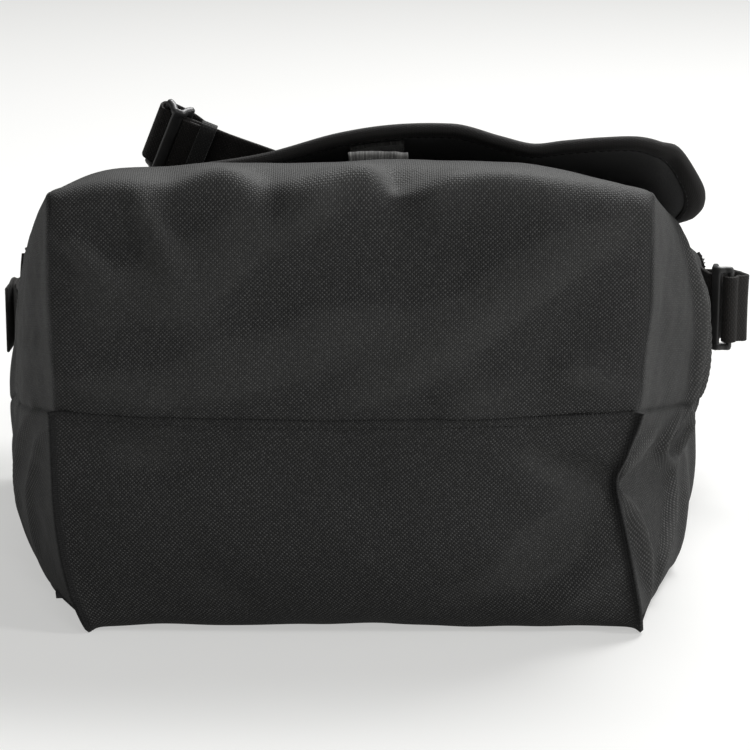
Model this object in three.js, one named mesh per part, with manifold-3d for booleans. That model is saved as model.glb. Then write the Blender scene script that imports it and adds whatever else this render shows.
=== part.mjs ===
// A messenger bag of black woven nylon, lying on its back panel: the base faces -Y, the mouth +Y and the front
// panel +Z. Lengths are millimetres. The body is laid out about its own middle line, and the group is moved at the
// end so that the origin is the middle of the bounding box's bottom face.
import * as THREE from "three";
import { mergeVertices } from "three/addons/utils/BufferGeometryUtils.js";
import Module from "manifold-3d";

// ---------------------------------------------------------------- driving dimensions
const BODY_LENGTH = 300; // base to mouth, measured along the floor
const BASE_WIDTH = 298;
const MOUTH_WIDTH = 392;
const BASE_HEIGHT = 232; // the side of the base, up to the sharp corner that the fold rounds off
const MOUTH_HEIGHT = 138;
const CROWN = 16; // how far the front stands above its side seams along the middle, at the base
const MOUTH_CROWN = 18; // and at the mouth
const BASE_BULGE = 14; // how far the base stands out of its side seams
const SEAM_HEIGHT = 118; // of the seam across the base
const SEAM_ARCH = 3; // how much higher that seam is in the middle
const SIDE_ROUND = 18; // the side seams round over at the top and the bottom of the base
const ROUND_SHRINK = 0.6; // and this much tighter for each millimetre inside them
const CREST_ROLL = { from: 190, pull: 225, over: 4, under: 2, out: 32 }; // the base's middle rolls into the front
const HEEL_ROLL = { to: 60, pull: 24, over: 4, out: 22 }; // and into the back
const FLATTEN = 2.6; // power of a panel's profile across it: higher is flatter in the middle
const SWELL_RAMP = 6; // a gusset reaches its swell over a sixth of its length
const SWELL_AT_BASE = 0.4; // share of the swell there
const CLOTH = 2; // a panel's thickness
const LINING = 0.8;
const GAP = 0.4; // between pieces that touch
const WEB_WIDTH = 40;
const WEB = 1.8; // webbing's thickness
const LEFT_HEIGHT = 98; // middle of the strap's left end above the floor
const RIGHT_HEIGHT = 113; // and of its right end

const FLAP_HALF = 174;
const FLAP_REACH = -80; // where the free edge lies
const FLAP_CORNER = 40;
const FLAP_LIFT = 6; // outer face above the front panel
const FLAP_BACK = 160; // outer face behind the mouth
const BACK_RISE = 72; // the back panel rounds up from the floor to this height at the mouth
const BACK_ROUND = 46; // and does so over this length
const FLAP_OUTER = 1.5;
const FLAP_LINING = 1.2;

const BASE_Y = -BODY_LENGTH / 2;
const MOUTH_Y = BODY_LENGTH / 2;
const BOX_CENTRE = new THREE.Vector2(14.046, 37.438); // of the whole bounding box, in the body's own layout

const NYLON = { color: 0x2c2c2b, roughness: 0.82, metalness: 0 };
const LINING_CLOTH = { color: 0x262524, roughness: 0.6, metalness: 0 };
const WEBBING = { color: 0x2c2926, roughness: 0.88, metalness: 0 };
const GROSGRAIN = { color: 0x242322, roughness: 0.8, metalness: 0 };
const PLASTIC = { color: 0x161617, roughness: 0.38, metalness: 0 };
const FOAM = { color: 0x3c3c3e, roughness: 0.95, metalness: 0 };
const PILE = { color: 0x565553, roughness: 0.98, metalness: 0 };
const ELASTIC = { color: 0x2a2928, roughness: 0.85, metalness: 0 };

const wasm = await Module();
wasm.setup();

const bag = new THREE.Group();

function add(name, geometry, finish) {
  const mesh = new THREE.Mesh(geometry, new THREE.MeshStandardMaterial(finish));
  mesh.name = name;
  bag.add(mesh);
  return mesh;
}

// ---------------------------------------------------------------- shaping helpers
const lerp = THREE.MathUtils.lerp;
const v3 = (x, y, z) => new THREE.Vector3(x, y, z);

// Moves each vertex of a geometry to where map(x, y, z) says.
function bend(geometry, map) {
  const place = geometry.getAttribute("position");
  const p = v3(0, 0, 0);
  for (let i = 0; i < place.count; i++) {
    p.fromBufferAttribute(place, i);
    place.setXYZ(i, ...map(p.x, p.y, p.z).toArray());
  }
  geometry.computeVertexNormals();
  return geometry;
}

// Values from the first knot to the last: each [count, knot] divides the stretch up to its knot evenly.
function rows(first, ...stretches) {
  const values = [first];
  for (const [count, knot] of stretches) {
    const start = values.at(-1);
    for (let i = 1; i <= count; i++) values.push(lerp(start, knot, i / count));
  }
  return values;
}

// A sheet of cloth on surface(u, v), whose du x dv points out of the bag: depth is how far its outer face lies below
// the surface, and stations are the values of v that its grid has.
function sheet(surface, across, stations, thickness, depth = 0) {
  const step = 1e-3;
  const slope = (a, b) => b.clone().sub(a);
  const along = stations.length - 1;
  const box = new THREE.BoxGeometry(1, 1, 1, across, along, 1);
  return bend(box, (x, y, z) => {
    const [u, v] = [x + 0.5, stations[Math.round((y + 0.5) * along)]];
    const [u0, u1] = [Math.max(u - step, 0), Math.min(u + step, 1)];
    const [v0, v1] = [Math.max(v - step, stations[0]), Math.min(v + step, stations[along])];
    const normal = slope(surface(u0, v), surface(u1, v))
      .cross(slope(surface(u, v0), surface(u, v1)))
      .normalize();
    return surface(u, v).addScaledVector(normal, -depth - thickness * (0.5 - z));
  });
}

// A flat band along stations [x, y, z, width direction x, y, z], with width across and thickness through.
function ribbon(stations, steps, width = WEB_WIDTH, thickness = WEB, lift = 0) {
  const middle = new THREE.CatmullRomCurve3(stations.map((s) => v3(s[0], s[1], s[2])));
  const turn = new THREE.CatmullRomCurve3(stations.map((s) => v3(s[3], s[4], s[5])));
  return bend(new THREE.BoxGeometry(1, 1, 1, steps, 1, 1), (x, y, z) => {
    const s = x + 0.5;
    const along = middle.getTangent(s);
    const across = turn.getPoint(s);
    across.addScaledVector(along, -across.dot(along)).normalize();
    const up = along.clone().cross(across);
    return middle
      .getPoint(s)
      .addScaledVector(across, y * width)
      .addScaledVector(up, z * thickness + lift);
  });
}

function joined(first, ...rest) {
  const solid = (geometry) => {
    const bare = new THREE.BufferGeometry();
    const loose = geometry.index ? geometry.toNonIndexed() : geometry;
    bare.setAttribute("position", loose.getAttribute("position"));
    const merged = mergeVertices(bare, 1e-4);
    return new wasm.Manifold(
      new wasm.Mesh({
        numProp: 3,
        vertProperties: new Float32Array(merged.attributes.position.array),
        triVerts: new Uint32Array(merged.index.array),
      }),
    );
  };
  const mesh = rest.reduce((sum, g) => sum.add(solid(g)), solid(first)).getMesh();
  const whole = new THREE.BufferGeometry();
  whole.setAttribute("position", new THREE.BufferAttribute(mesh.vertProperties, 3));
  whole.setIndex(new THREE.BufferAttribute(mesh.triVerts, 1));
  whole.computeVertexNormals();
  return whole;
}

// ---------------------------------------------------------------- the body's outer surface
// Half the body's width at a distance y along it.
function halfWidth(y) {
  const s = THREE.MathUtils.clamp((y - BASE_Y) / BODY_LENGTH, 0, 1);
  return lerp(BASE_WIDTH, MOUTH_WIDTH, s) / 2;
}

const frontSlope = (BASE_HEIGHT - MOUTH_HEIGHT) / BODY_LENGTH;

// The side outline from the floor corner of the base up to the front, moved in by inset all round.
function baseEdge(inset) {
  const y = BASE_Y + inset;
  const top = BASE_HEIGHT - inset * (frontSlope + Math.hypot(1, frontSlope));
  const round = SIDE_ROUND - ROUND_SHRINK * inset;
  const path = new THREE.Path();
  path.moveTo(y + round, inset);
  path.quadraticCurveTo(y, inset, y, inset + round);
  path.lineTo(y, top - round);
  path.quadraticCurveTo(y, top, y + round, top - round * frontSlope);
  return path;
}

const frontSide = new THREE.Path();
frontSide.moveTo(BASE_Y, SEAM_HEIGHT);
frontSide.lineTo(BASE_Y, BASE_HEIGHT - SIDE_ROUND);
frontSide.quadraticCurveTo(BASE_Y, BASE_HEIGHT, BASE_Y + SIDE_ROUND, BASE_HEIGHT - SIDE_ROUND * frontSlope);
frontSide.lineTo(MOUTH_Y, MOUTH_HEIGHT);

const frontMiddle = new THREE.Path();
frontMiddle.moveTo(BASE_Y - BASE_BULGE, SEAM_HEIGHT + SEAM_ARCH);
frontMiddle.lineTo(BASE_Y - BASE_BULGE, CREST_ROLL.from);
frontMiddle.bezierCurveTo(
  BASE_Y - BASE_BULGE,
  CREST_ROLL.pull,
  BASE_Y - CREST_ROLL.over,
  BASE_HEIGHT + CROWN - CREST_ROLL.under,
  BASE_Y + CREST_ROLL.out,
  BASE_HEIGHT + CROWN - CREST_ROLL.out * frontSlope,
);
frontMiddle.lineTo(MOUTH_Y, MOUTH_HEIGHT + MOUTH_CROWN);

// Both outlines of the back start at the mouth, round down to the floor and run along it to the base.
function backOutline() {
  const path = new THREE.Path();
  path.absellipse(MOUTH_Y - BACK_ROUND, BACK_RISE, BACK_ROUND, BACK_RISE, 0, -Math.PI / 2, true);
  return path;
}
const backSide = backOutline();
backSide.lineTo(BASE_Y + SIDE_ROUND, 0);
backSide.quadraticCurveTo(BASE_Y, 0, BASE_Y, SIDE_ROUND);
backSide.lineTo(BASE_Y, SEAM_HEIGHT);

const backMiddle = backOutline();
backMiddle.lineTo(BASE_Y + HEEL_ROLL.out, 0);
backMiddle.bezierCurveTo(
  BASE_Y - HEEL_ROLL.over,
  0,
  BASE_Y - BASE_BULGE,
  HEEL_ROLL.pull,
  BASE_Y - BASE_BULGE,
  HEEL_ROLL.to,
);
backMiddle.lineTo(BASE_Y - BASE_BULGE, SEAM_HEIGHT + SEAM_ARCH);

// A panel between its two side seams: from and to are the stretch of its outline that it covers, and trim narrows it.
function panel(side, middle, { from = 0, to = 1, trim = 0 } = {}) {
  return (u, v) => {
    const t = 2 * u - 1;
    const s = lerp(from, to, v);
    const edge = side.getPointAt(s);
    const crest = middle.getPointAt(s);
    const full = 1 - Math.abs(t) ** FLATTEN;
    const y = lerp(edge.x, crest.x, full);
    return v3(t * (halfWidth(edge.x) - trim), y, lerp(edge.y, crest.y, full));
  };
}

const seamTrim = 0.3 / 400; // keeps the two halves of the base apart at their seam

// Height of the back panel's side seam, moved in by inset, at a distance y along the body.
function backHeight(y, inset) {
  const run = THREE.MathUtils.clamp((y - MOUTH_Y + BACK_ROUND) / (BACK_ROUND - inset), 0, 1);
  return BACK_RISE - (BACK_RISE - inset) * Math.sqrt(1 - run * run) + 2 * inset * run ** 4;
}

// A gusset between the base's edge and the mouth, from low to high of its height; sign is the side it is on.
function gusset(sign, low, high, inset, swell, shortBy = 0) {
  const edge = baseEdge(inset);
  const slant = inset * Math.hypot(1, frontSlope);
  return (u, v) => {
    const r = sign > 0 ? u : 1 - u;
    const q = lerp(low, high, v);
    const base = edge.getPointAt(q);
    const y = lerp(base.x, MOUTH_Y - shortBy, r);
    const flat = lerp(base.y, lerp(inset, MOUTH_HEIGHT - slant, q), r);
    const top = BASE_HEIGHT - frontSlope * (y - BASE_Y) - slant;
    const z = top - ((top - flat) * (top - backHeight(y, inset))) / (top - inset);
    const bulge = swell * 4 * q * (1 - q) * Math.min(1, SWELL_RAMP * r) * lerp(SWELL_AT_BASE, 1, r);
    return v3(sign * (halfWidth(y) + bulge), y, z);
  };
}

// ---------------------------------------------------------------- shell
const SEAM_INSET = CLOTH + 1.2;
const SWELL = { right: 12, left: 3 };
const HALVES = { lower: 0.4985, upper: 0.5015 }; // shares of a gusset's height where its halves meet at their seam
const LINING_DEPTH = CLOTH + 1.2;
const SIDE_LINING = { inset: 9.6, shortBy: 4 };

// The panels' rows lie close together where they round over.
const frontRows = (to) => rows(0, [3, 0.22], [6, 0.42], [6, to]);
const backRows = (from, to) => rows(from, [9, 0.22], [3, 0.64], [9, to]);
add("front_panel", sheet(panel(frontSide, frontMiddle, { from: seamTrim }), 12, frontRows(1), CLOTH), NYLON);
add("back_panel", sheet(panel(backSide, backMiddle), 10, backRows(0, 1 - seamTrim), CLOTH), NYLON);

for (const [name, sign] of [
  ["right", 1],
  ["left", -1],
]) {
  const swell = SWELL[name];
  const lower = gusset(sign, 0, HALVES.lower, SEAM_INSET, swell);
  const upper = gusset(sign, HALVES.upper, 1, SEAM_INSET, swell);
  add(`gusset_${name}_lower`, sheet(lower, 14, rows(0, [5, 1]), CLOTH), NYLON);
  add(`gusset_${name}_upper`, sheet(upper, 14, rows(0, [5, 1]), CLOTH), NYLON);
  const inner = gusset(sign, 0, 1, SIDE_LINING.inset, swell, SIDE_LINING.shortBy);
  add(`lining_${name}`, sheet(inner, 14, rows(0, [8, 1]), LINING, LINING_DEPTH), LINING_CLOTH);
}

// ---------------------------------------------------------------- inside
const FOAM_THICK = 4;
const TRIM = { lining_front: 5, lining_back: 12, foam: 14 }; // how much narrower each is than its panel, on each side
const foamDepth = CLOTH + GAP;
const backLiningDepth = foamDepth + FOAM_THICK + GAP;
add(
  "lining_front",
  sheet(
    panel(frontSide, frontMiddle, { from: seamTrim, trim: TRIM.lining_front }),
    12, frontRows(0.99), LINING, CLOTH + 1,
  ),
  LINING_CLOTH,
);
add(
  "lining_back",
  sheet(
    panel(backSide, backMiddle, { trim: TRIM.lining_back }),
    10, backRows(0.01, 1 - seamTrim), LINING, backLiningDepth,
  ),
  LINING_CLOTH,
);
add(
  "foam_pad",
  sheet(
    panel(backSide, backMiddle, { from: 0.25, to: 0.64, trim: TRIM.foam }),
    4, rows(0, [4, 1]), FOAM_THICK, foamDepth,
  ),
  FOAM,
);

// The sleeve wall stands off the back lining, sewn in at the base and the sides, and carries a zipped pocket.
const SLEEVE = { from: BASE_Y + 16, to: 118, height: 30, thick: 2.4, trim: 16 };
add(
  "sleeve_wall",
  sheet(
    (u, v) => {
      const y = lerp(SLEEVE.from, SLEEVE.to, v);
      return v3((2 * u - 1) * (halfWidth(y) - SLEEVE.trim), y, SLEEVE.height + SLEEVE.thick);
    },
    2,
    rows(0, [4, 1]),
    SLEEVE.thick,
  ),
  LINING_CLOTH,
);

const POCKET = { half: 105, from: -80, to: 52, thick: 1.2 };
const pocketFloor = SLEEVE.height + SLEEVE.thick + GAP;
function block(width, length, height, x, y, z) {
  return new THREE.BoxGeometry(width, length, height).translate(x, y, z + height / 2);
}
add(
  "pocket_panel",
  block(2 * POCKET.half, POCKET.to - POCKET.from, POCKET.thick, 0, (POCKET.from + POCKET.to) / 2, pocketFloor),
  LINING_CLOTH,
);
const ZIP = { y: POCKET.to + 13, width: 25, tape: 1, coil: 1.6, coilWidth: 5, coilEnd: 4, sunk: 0.2 };
add(
  "zip_tape",
  joined(
    block(2 * POCKET.half, ZIP.width, ZIP.tape, 0, ZIP.y, pocketFloor),
    block(
      2 * (POCKET.half - ZIP.coilEnd), ZIP.coilWidth, ZIP.coil + ZIP.sunk,
      0, ZIP.y, pocketFloor + ZIP.tape - ZIP.sunk,
    ),
  ),
  GROSGRAIN,
);
const zipTop = pocketFloor + ZIP.tape + ZIP.coil + GAP;
const ZIP_START = -92;
const SLIDER = { radius: 4.4, thick: 2.4, stretch: 1.25, bridge: { long: 5, wide: 2.2, high: 2.4, sunk: 0.2 } };
const sliderBody = new THREE.CylinderGeometry(SLIDER.radius, SLIDER.radius, SLIDER.thick, 20)
  .rotateX(Math.PI / 2)
  .scale(SLIDER.stretch, 1, 1)
  .translate(ZIP_START, ZIP.y, zipTop + SLIDER.thick / 2);
const { bridge } = SLIDER;
const bridgeFloor = zipTop + SLIDER.thick - bridge.sunk;
const sliderBridge = block(bridge.long, bridge.wide, bridge.high, ZIP_START, ZIP.y, bridgeFloor);
add("zip_slider", joined(sliderBody, sliderBridge), PLASTIC);
const PULL = { near: 3.4, far: 4, long: 22, thick: 1.4, eye: 2, eyeAt: 19, ahead: 8, above: 4.6 };
const pullShape = new THREE.Shape();
pullShape.absarc(0, 0, PULL.near, Math.PI / 2, (3 * Math.PI) / 2);
pullShape.lineTo(PULL.long, -PULL.far);
pullShape.absarc(PULL.long, 0, PULL.far, -Math.PI / 2, Math.PI / 2);
pullShape.lineTo(0, PULL.near);
const pullEye = new THREE.Path();
pullEye.absarc(PULL.eyeAt, 0, PULL.eye, 0, 2 * Math.PI, true);
pullShape.holes.push(pullEye);
add(
  "zip_pull",
  new THREE.ExtrudeGeometry(pullShape, { depth: PULL.thick, bevelEnabled: false, curveSegments: 8 }).translate(
    ZIP_START + PULL.ahead,
    ZIP.y,
    zipTop + PULL.above,
  ),
  PLASTIC,
);

// ---------------------------------------------------------------- tape round the mouth
const MOUTH_TAPE = { thick: 2.6, wide: 4.6, inside: 1.8 };
function mouthTape(edge, steps) {
  return bend(new THREE.BoxGeometry(1, 1, 1, steps, 1, 1), (x, y, z) => {
    const s = x + 0.5;
    const step = 1e-3;
    const along = edge(Math.min(s + step, 1)).sub(edge(Math.max(s - step, 0))).normalize();
    const out = v3(0, 1, 0);
    const up = along.clone().cross(out);
    const reach = GAP + MOUTH_TAPE.thick * (0.5 + y);
    return edge(s).addScaledVector(out, reach).addScaledVector(up, MOUTH_TAPE.wide * z);
  });
}
const frontMouth = panel(frontSide, frontMiddle);
add(
  "mouth_tape_front",
  mouthTape((s) => frontMouth(lerp(0.004, 0.996, s), 1).add(v3(0, 0, -MOUTH_TAPE.inside)), 16),
  GROSGRAIN,
);
for (const [name, sign] of [
  ["right", 1],
  ["left", -1],
]) {
  const side = gusset(sign, 0, 1, SEAM_INSET, SWELL[name]);
  add(
    `mouth_tape_${name}`,
    mouthTape((s) => side(sign > 0 ? 1 : 0, lerp(0.03, 0.97, s)).add(v3(-sign * MOUTH_TAPE.inside, 0, 0)), 8),
    GROSGRAIN,
  );
}

// ---------------------------------------------------------------- flap
// Height of the front panel's outer face at x across and y along.
function frontHeight(x, y) {
  const crestY = BASE_Y + CREST_ROLL.out;
  const side = BASE_HEIGHT - frontSlope * (y - BASE_Y);
  const crest = BASE_HEIGHT + CROWN - CREST_ROLL.out * frontSlope;
  const middle = lerp(crest, MOUTH_HEIGHT + MOUTH_CROWN, (y - crestY) / (MOUTH_Y - crestY));
  const t = Math.min(Math.abs(x) / halfWidth(y), 1);
  return lerp(side, middle, 1 - t ** FLATTEN);
}

// How far the free edge stands off the front panel, at stations across it: it ripples, and its right corner curls up.
const wave = new THREE.SplineCurve(
  [
    [-200, -2],
    [-150, 0.5],
    [-100, 0.5],
    [-46, 4],
    [-5, 14.5],
    [20, 18.5],
    [52, 20],
    [78, 15],
    [91, 12.5],
    [110, 17],
    [130, 22],
    [150, 26],
    [166, 26],
    [200, 6],
  ].map(([x, z]) => new THREE.Vector2(x, z)),
);
function edgeLift(x) {
  let [low, high] = [0, 1];
  for (let i = 0; i < 24; i++) {
    const middle = (low + high) / 2;
    if (wave.getPoint(middle).x < x) low = middle;
    else high = middle;
  }
  return wave.getPoint(low).y;
}

// The flap's outer face over the front panel: it rises a little towards the shoulder, to clear the tape of the mouth.
const SHOULDER = 128; // where the flap leaves the front panel and starts to round over the mouth
const SHOULDER_LIFT = 4;
const SHOULDER_RISE_FROM = 60; // where that rise starts
const RIPPLE_TO = 40; // the free edge's ripple has died away here
const LEVEL_OVER = 80; // the flap turns level across over this length before the shoulder
function flapHeight(x, y) {
  const spread = THREE.MathUtils.smoothstep(SHOULDER - y, 0, LEVEL_OVER);
  const near = THREE.MathUtils.smoothstep(RIPPLE_TO - y, 0, RIPPLE_TO - FLAP_REACH);
  const back = THREE.MathUtils.smoothstep(y, SHOULDER_RISE_FROM, SHOULDER);
  const rise = FLAP_LIFT + SHOULDER_LIFT * back + near * edgeLift(x);
  return lerp(frontHeight(0, y), frontHeight(x, y), spread) + rise;
}
const flapLine = new THREE.Path();
const shoulderHeight = flapHeight(0, SHOULDER);
flapLine.moveTo(FLAP_REACH, frontHeight(0, FLAP_REACH) + FLAP_LIFT);
flapLine.lineTo(SHOULDER, shoulderHeight);
const FLAP_BEND = { run: 20, dip: 4, high: 3, drop: 28 };
flapLine.bezierCurveTo(
  SHOULDER + FLAP_BEND.run,
  shoulderHeight - FLAP_BEND.dip,
  FLAP_BACK,
  shoulderHeight - FLAP_BEND.high,
  FLAP_BACK,
  shoulderHeight - FLAP_BEND.drop,
);
const FLAP_FOOT = BACK_RISE + 4;
flapLine.lineTo(FLAP_BACK, FLAP_FOOT);
const flapLength = flapLine.getLength();

// Near its free edge the flap is drawn over to the right: the right corner flares out and the left one is pulled in.
const FLARE = { right: 14, left: 24, from: 60 };
function drawn(x, d) {
  const near = (low, high) => 1 - THREE.MathUtils.smoothstep(d, low, high);
  const right = FLARE.right * THREE.MathUtils.smoothstep(x, FLARE.from, FLAP_HALF) * near(20, 100);
  return x + right + FLARE.left * THREE.MathUtils.smoothstep(-x, FLARE.from, FLAP_HALF) * near(60, 200);
}

// The flap's outer face at x across and d millimetres from its free edge.
function flapFace(x, d) {
  const p = flapLine.getPointAt(THREE.MathUtils.clamp(d / flapLength, 0, 1));
  const y = p.x + Math.min(d, 0);
  const across = drawn(x, d);
  return v3(across, y, y < SHOULDER ? flapHeight(across, y) : p.y);
}

// The outline's half width at d from the free edge, moved in by trim: straight sides and two round corners.
function flapHalf(d, trim) {
  const short = Math.max(0, FLAP_CORNER - d);
  return FLAP_HALF - FLAP_CORNER + Math.sqrt(Math.max(0, (FLAP_CORNER - trim) ** 2 - short ** 2));
}

// The flap's own grid, by distance from the free edge: close together round the corners and over the mouth.
const BEND_FROM = SHOULDER - FLAP_REACH;
const flapRows = (trim) => {
  const round = [0, 0.03, 0.13, 0.3, 0.52, 0.76, 1].map((t) => lerp(trim, FLAP_CORNER, t));
  return round.concat(rows(FLAP_CORNER, [6, BEND_FROM], [9, BEND_FROM + 66], [2, flapLength - trim]).slice(1));
};
function flapGrid(trim) {
  return (u, d) => flapFace((2 * u - 1) * flapHalf(d, trim), d);
}
const LINING_GAP = 1.7; // the two layers of the flap are sewn only at its edge
const LINING_TRIM = 3;
add("flap_outer", sheet(flapGrid(0), 16, flapRows(0), FLAP_OUTER), NYLON);
add(
  "flap_lining",
  sheet(flapGrid(LINING_TRIM), 16, flapRows(LINING_TRIM), FLAP_LINING, FLAP_OUTER + LINING_GAP),
  LINING_CLOTH,
);

// The bound edge: a tape round the flap's sides and free edge.
const TAPE = { from: 1.3, out: 3.4, thick: 6, shortBy: 2 };
const outline = new THREE.Path();
outline.moveTo(-FLAP_HALF, flapLength - TAPE.shortBy);
outline.lineTo(-FLAP_HALF, FLAP_CORNER);
outline.absarc(-FLAP_HALF + FLAP_CORNER, FLAP_CORNER, FLAP_CORNER, Math.PI, 1.5 * Math.PI);
outline.lineTo(FLAP_HALF - FLAP_CORNER, 0);
outline.absarc(FLAP_HALF - FLAP_CORNER, FLAP_CORNER, FLAP_CORNER, 1.5 * Math.PI, 2 * Math.PI);
outline.lineTo(FLAP_HALF, flapLength - TAPE.shortBy);
add(
  "flap_binding",
  bend(new THREE.BoxGeometry(1, 1, 1, 90, 1, 1), (x, y, z) => {
    const s = x + 0.5;
    const at = outline.getPointAt(s);
    const run = outline.getTangentAt(s);
    const reach = TAPE.from + TAPE.out * (0.5 - y);
    const [px, pd] = [at.x + run.y * reach, at.y - run.x * reach];
    const lean = flapFace(px, pd + 1).sub(flapFace(px, Math.min(pd, flapLength - 1) - 1));
    const up = v3(0, -lean.z, lean.y).normalize();
    return flapFace(px, pd).addScaledVector(up, TAPE.thick * z - (FLAP_OUTER + FLAP_LINING + LINING_GAP) / 2);
  }),
  GROSGRAIN,
);

// ---------------------------------------------------------------- hook and loop closure
const STRIP = { x: 14, half: 14, thick: 2, loop: [0.335, 0.56], hook: [12, 92] }; // loop: shares along the front
const frontFace = panel(frontSide, frontMiddle);
add(
  "closure_loop_strip",
  sheet(
    (u, v) => {
      const x = STRIP.x + (2 * u - 1) * STRIP.half;
      const s = lerp(...STRIP.loop, v);
      return frontFace((x / halfWidth(frontSide.getPointAt(s).x) + 1) / 2, s).add(v3(0, 0, GAP + STRIP.thick));
    },
    3,
    rows(0, [10, 1]),
    STRIP.thick,
  ),
  PILE,
);
add(
  "closure_hook_strip",
  sheet(
    (u, v) => flapFace(STRIP.x + (2 * u - 1) * STRIP.half, lerp(...STRIP.hook, v)),
    3,
    rows(0, [6, 1]),
    STRIP.thick,
    FLAP_OUTER + FLAP_LINING + LINING_GAP + GAP,
  ),
  PILE,
);

// ---------------------------------------------------------------- buckles
// A three-bar slide in its own frame: the bars run along Y, the webbing along X, and the middle bar is raised so
// that the webbing passes straight under it and over the outer two.
const SLIDE = { long: 50, wide: 16, rail: 4, bar: 3.8, middle: 6.4, thick: 3, lift: 2.6, into: 1 }; // into: in a rail
const RAIL = { bow: 1.6, shoulder: 6, flat: 4, fall: 0.4 };
function slideBuckle() {
  const halfLong = SLIDE.long / 2;
  const rail = new THREE.Shape();
  const [w, h] = [SLIDE.wide / 2, SLIDE.lift + SLIDE.thick / 2];
  rail.moveTo(-w, -h);
  rail.lineTo(w, -h);
  rail.quadraticCurveTo(w + RAIL.bow, 0, w - RAIL.shoulder, h - RAIL.fall);
  if (w > RAIL.shoulder + RAIL.flat) {
    rail.lineTo(RAIL.flat, h);
    rail.lineTo(-RAIL.flat, h);
  }
  rail.lineTo(-w + RAIL.shoulder, h - RAIL.fall);
  rail.quadraticCurveTo(-w - RAIL.bow, 0, -w, -h);
  const rails = [-1, 1].map((side) =>
    new THREE.ExtrudeGeometry(rail, { depth: SLIDE.rail, bevelEnabled: false, curveSegments: 4 })
      .rotateX(Math.PI / 2)
      .translate(0, side * (halfLong - SLIDE.rail / 2) + SLIDE.rail / 2, 0),
  );
  const span = SLIDE.long - 2 * SLIDE.into;
  const bar = (x, z, wide = SLIDE.bar) => new THREE.BoxGeometry(wide, span, SLIDE.thick).translate(x, 0, z);
  const reach = SLIDE.wide / 2 - SLIDE.bar / 2;
  const middle = bar(0, SLIDE.lift, SLIDE.middle);
  return joined(rails[0], rails[1], bar(-reach, -SLIDE.lift), middle, bar(reach, -SLIDE.lift));
}

// Lays a piece made in its own frame along the directions of its X and Y axes.
function lay(mesh, place, x, y) {
  const along = x.clone().normalize();
  const across = y.clone().addScaledVector(along, -y.dot(along)).normalize();
  const basis = new THREE.Matrix4().makeBasis(along, across, along.clone().cross(across));
  mesh.quaternion.setFromRotationMatrix(basis);
  mesh.position.copy(place);
  return mesh;
}

// ---------------------------------------------------------------- shoulder strap
// The straight stretch that the adjuster slides on runs down to the right above the flap, standing on its edge.
const ADJUSTER = v3(-99, 12, 229);
const RUN = v3(0.927, 0, -0.374).normalize();
const STAND = v3(0.311, -0.555, 0.772).normalize();
const along = (d) => ADJUSTER.clone().addScaledVector(RUN, d);
const FACE = RUN.clone().cross(STAND).normalize(); // out of the adjuster's face
const straight = (d, out = 0, up = 0) => [
  ...along(d).addScaledVector(FACE, out).addScaledVector(STAND, up).toArray(),
  ...STAND.toArray(),
];

// A station where the strap lies flat on the flap: its width points along (wx, wy) and follows the slope.
function resting(x, y, wx, wy, clear = 2.6) {
  const half = WEB_WIDTH / 2;
  const rise = flapHeight(x + wx * half, y + wy * half) - flapHeight(x - wx * half, y - wy * half);
  return [x, y, flapHeight(x, y) + clear, wx, wy, rise / (2 * half)];
}

const LEFT_LEAD = [
  [-193.4, 108, LEFT_HEIGHT, 0, 0, 1],
  [-196.6, 124, LEFT_HEIGHT, 0, 0, 1],
  [-201, 140, LEFT_HEIGHT, 0, 0, 1],
  [-202.6, 152, LEFT_HEIGHT, 0, 0, 1],
  [-202.7, 166, LEFT_HEIGHT, 0, 0, 1],
];
const LEFT_RUN = [
  [-206, 138, LEFT_HEIGHT, 0, 0, 1],
  [-205.4, 152, LEFT_HEIGHT, 0, 0, 1],
  [-205.4, 166, LEFT_HEIGHT, 0, 0, 1],
  [-204, 184, 94, 0, 0, 1],
  [-194, 206, 99, 0.1, 0.2, 1],
  [-176, 219, 118, 0.6, 0.5, 1],
  [-155, 214, 141, 1, 0.4, 0.4],
  [-140, 190, 161, 1, 0.1, 0],
  [-128, 158, 171, 1, 0.1, 0],
  resting(-108, 120, 0.97, 0.24, 4),
  resting(-86, 92, 0.88, 0.47, 4.5),
  resting(-74, 64, 0.97, 0.2, 7),
  [-72, 42, 208, 0.8, -0.4, 0.4],
  [-80.4, 25.2, 218.1, 0.5, -0.6, 0.6],
  ...[
    [12, -7, -5],
    [3, -6.6, -1],
    [-4.5, -6.4, 0],
    [-7.6, -6, 0],
    [-9.3, -4.7, 0],
    [-9.95, -2.9, 0],
    [-9.7, -1.2, 0],
    [-8.6, -0.1, 0],
    [-6.8, 0.05, 0],
    [-4, 0, 0],
    [-0.8, 0, 0],
  ].map((turn) => straight(...turn)),
];
const TOP_RUN = [
  straight(0.4),
  straight(6),
  straight(12),
  straight(24),
  straight(32),
  [-46, 19.5, 211, 0.28, -0.72, 0.56],
  resting(-8, 42, 0.15, -0.98, 3.4),
  resting(30, 54, 0.25, -0.95),
  resting(66, 72, 0.45, -0.88),
  resting(90, 94, 0.75, -0.6),
  resting(105, 112, 0.93, -0.36),
  resting(109.6, 123.4, 0.95, -0.3, 3.4),
];
const RIGHT_RUN = [
  resting(110.2, 125.4, 0.95, -0.3, 3.4),
  [113.6, 136, 174, 1, -0.3, 0],
  [122.5, 162, 168.5, 1, -0.2, -0.1],
  [138, 192, 150, 1, 0, -0.4],
  [158, 210, 129, 0.9, 0.2, -0.9],
  [183, 211, 109, 0.4, 0.2, -1],
  [207, 196, 99, 0.1, 0, -1],
  [224, 181, 100, 0, 0, -1],
  [230, 165, 103, 0, 0, -1],
  [230.2, 152, 105.5, 0, 0, -1],
  [230.2, 139, 108, 0, 0, -1],
];
add("strap_left_end", ribbon(LEFT_LEAD, 8), WEBBING);
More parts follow.
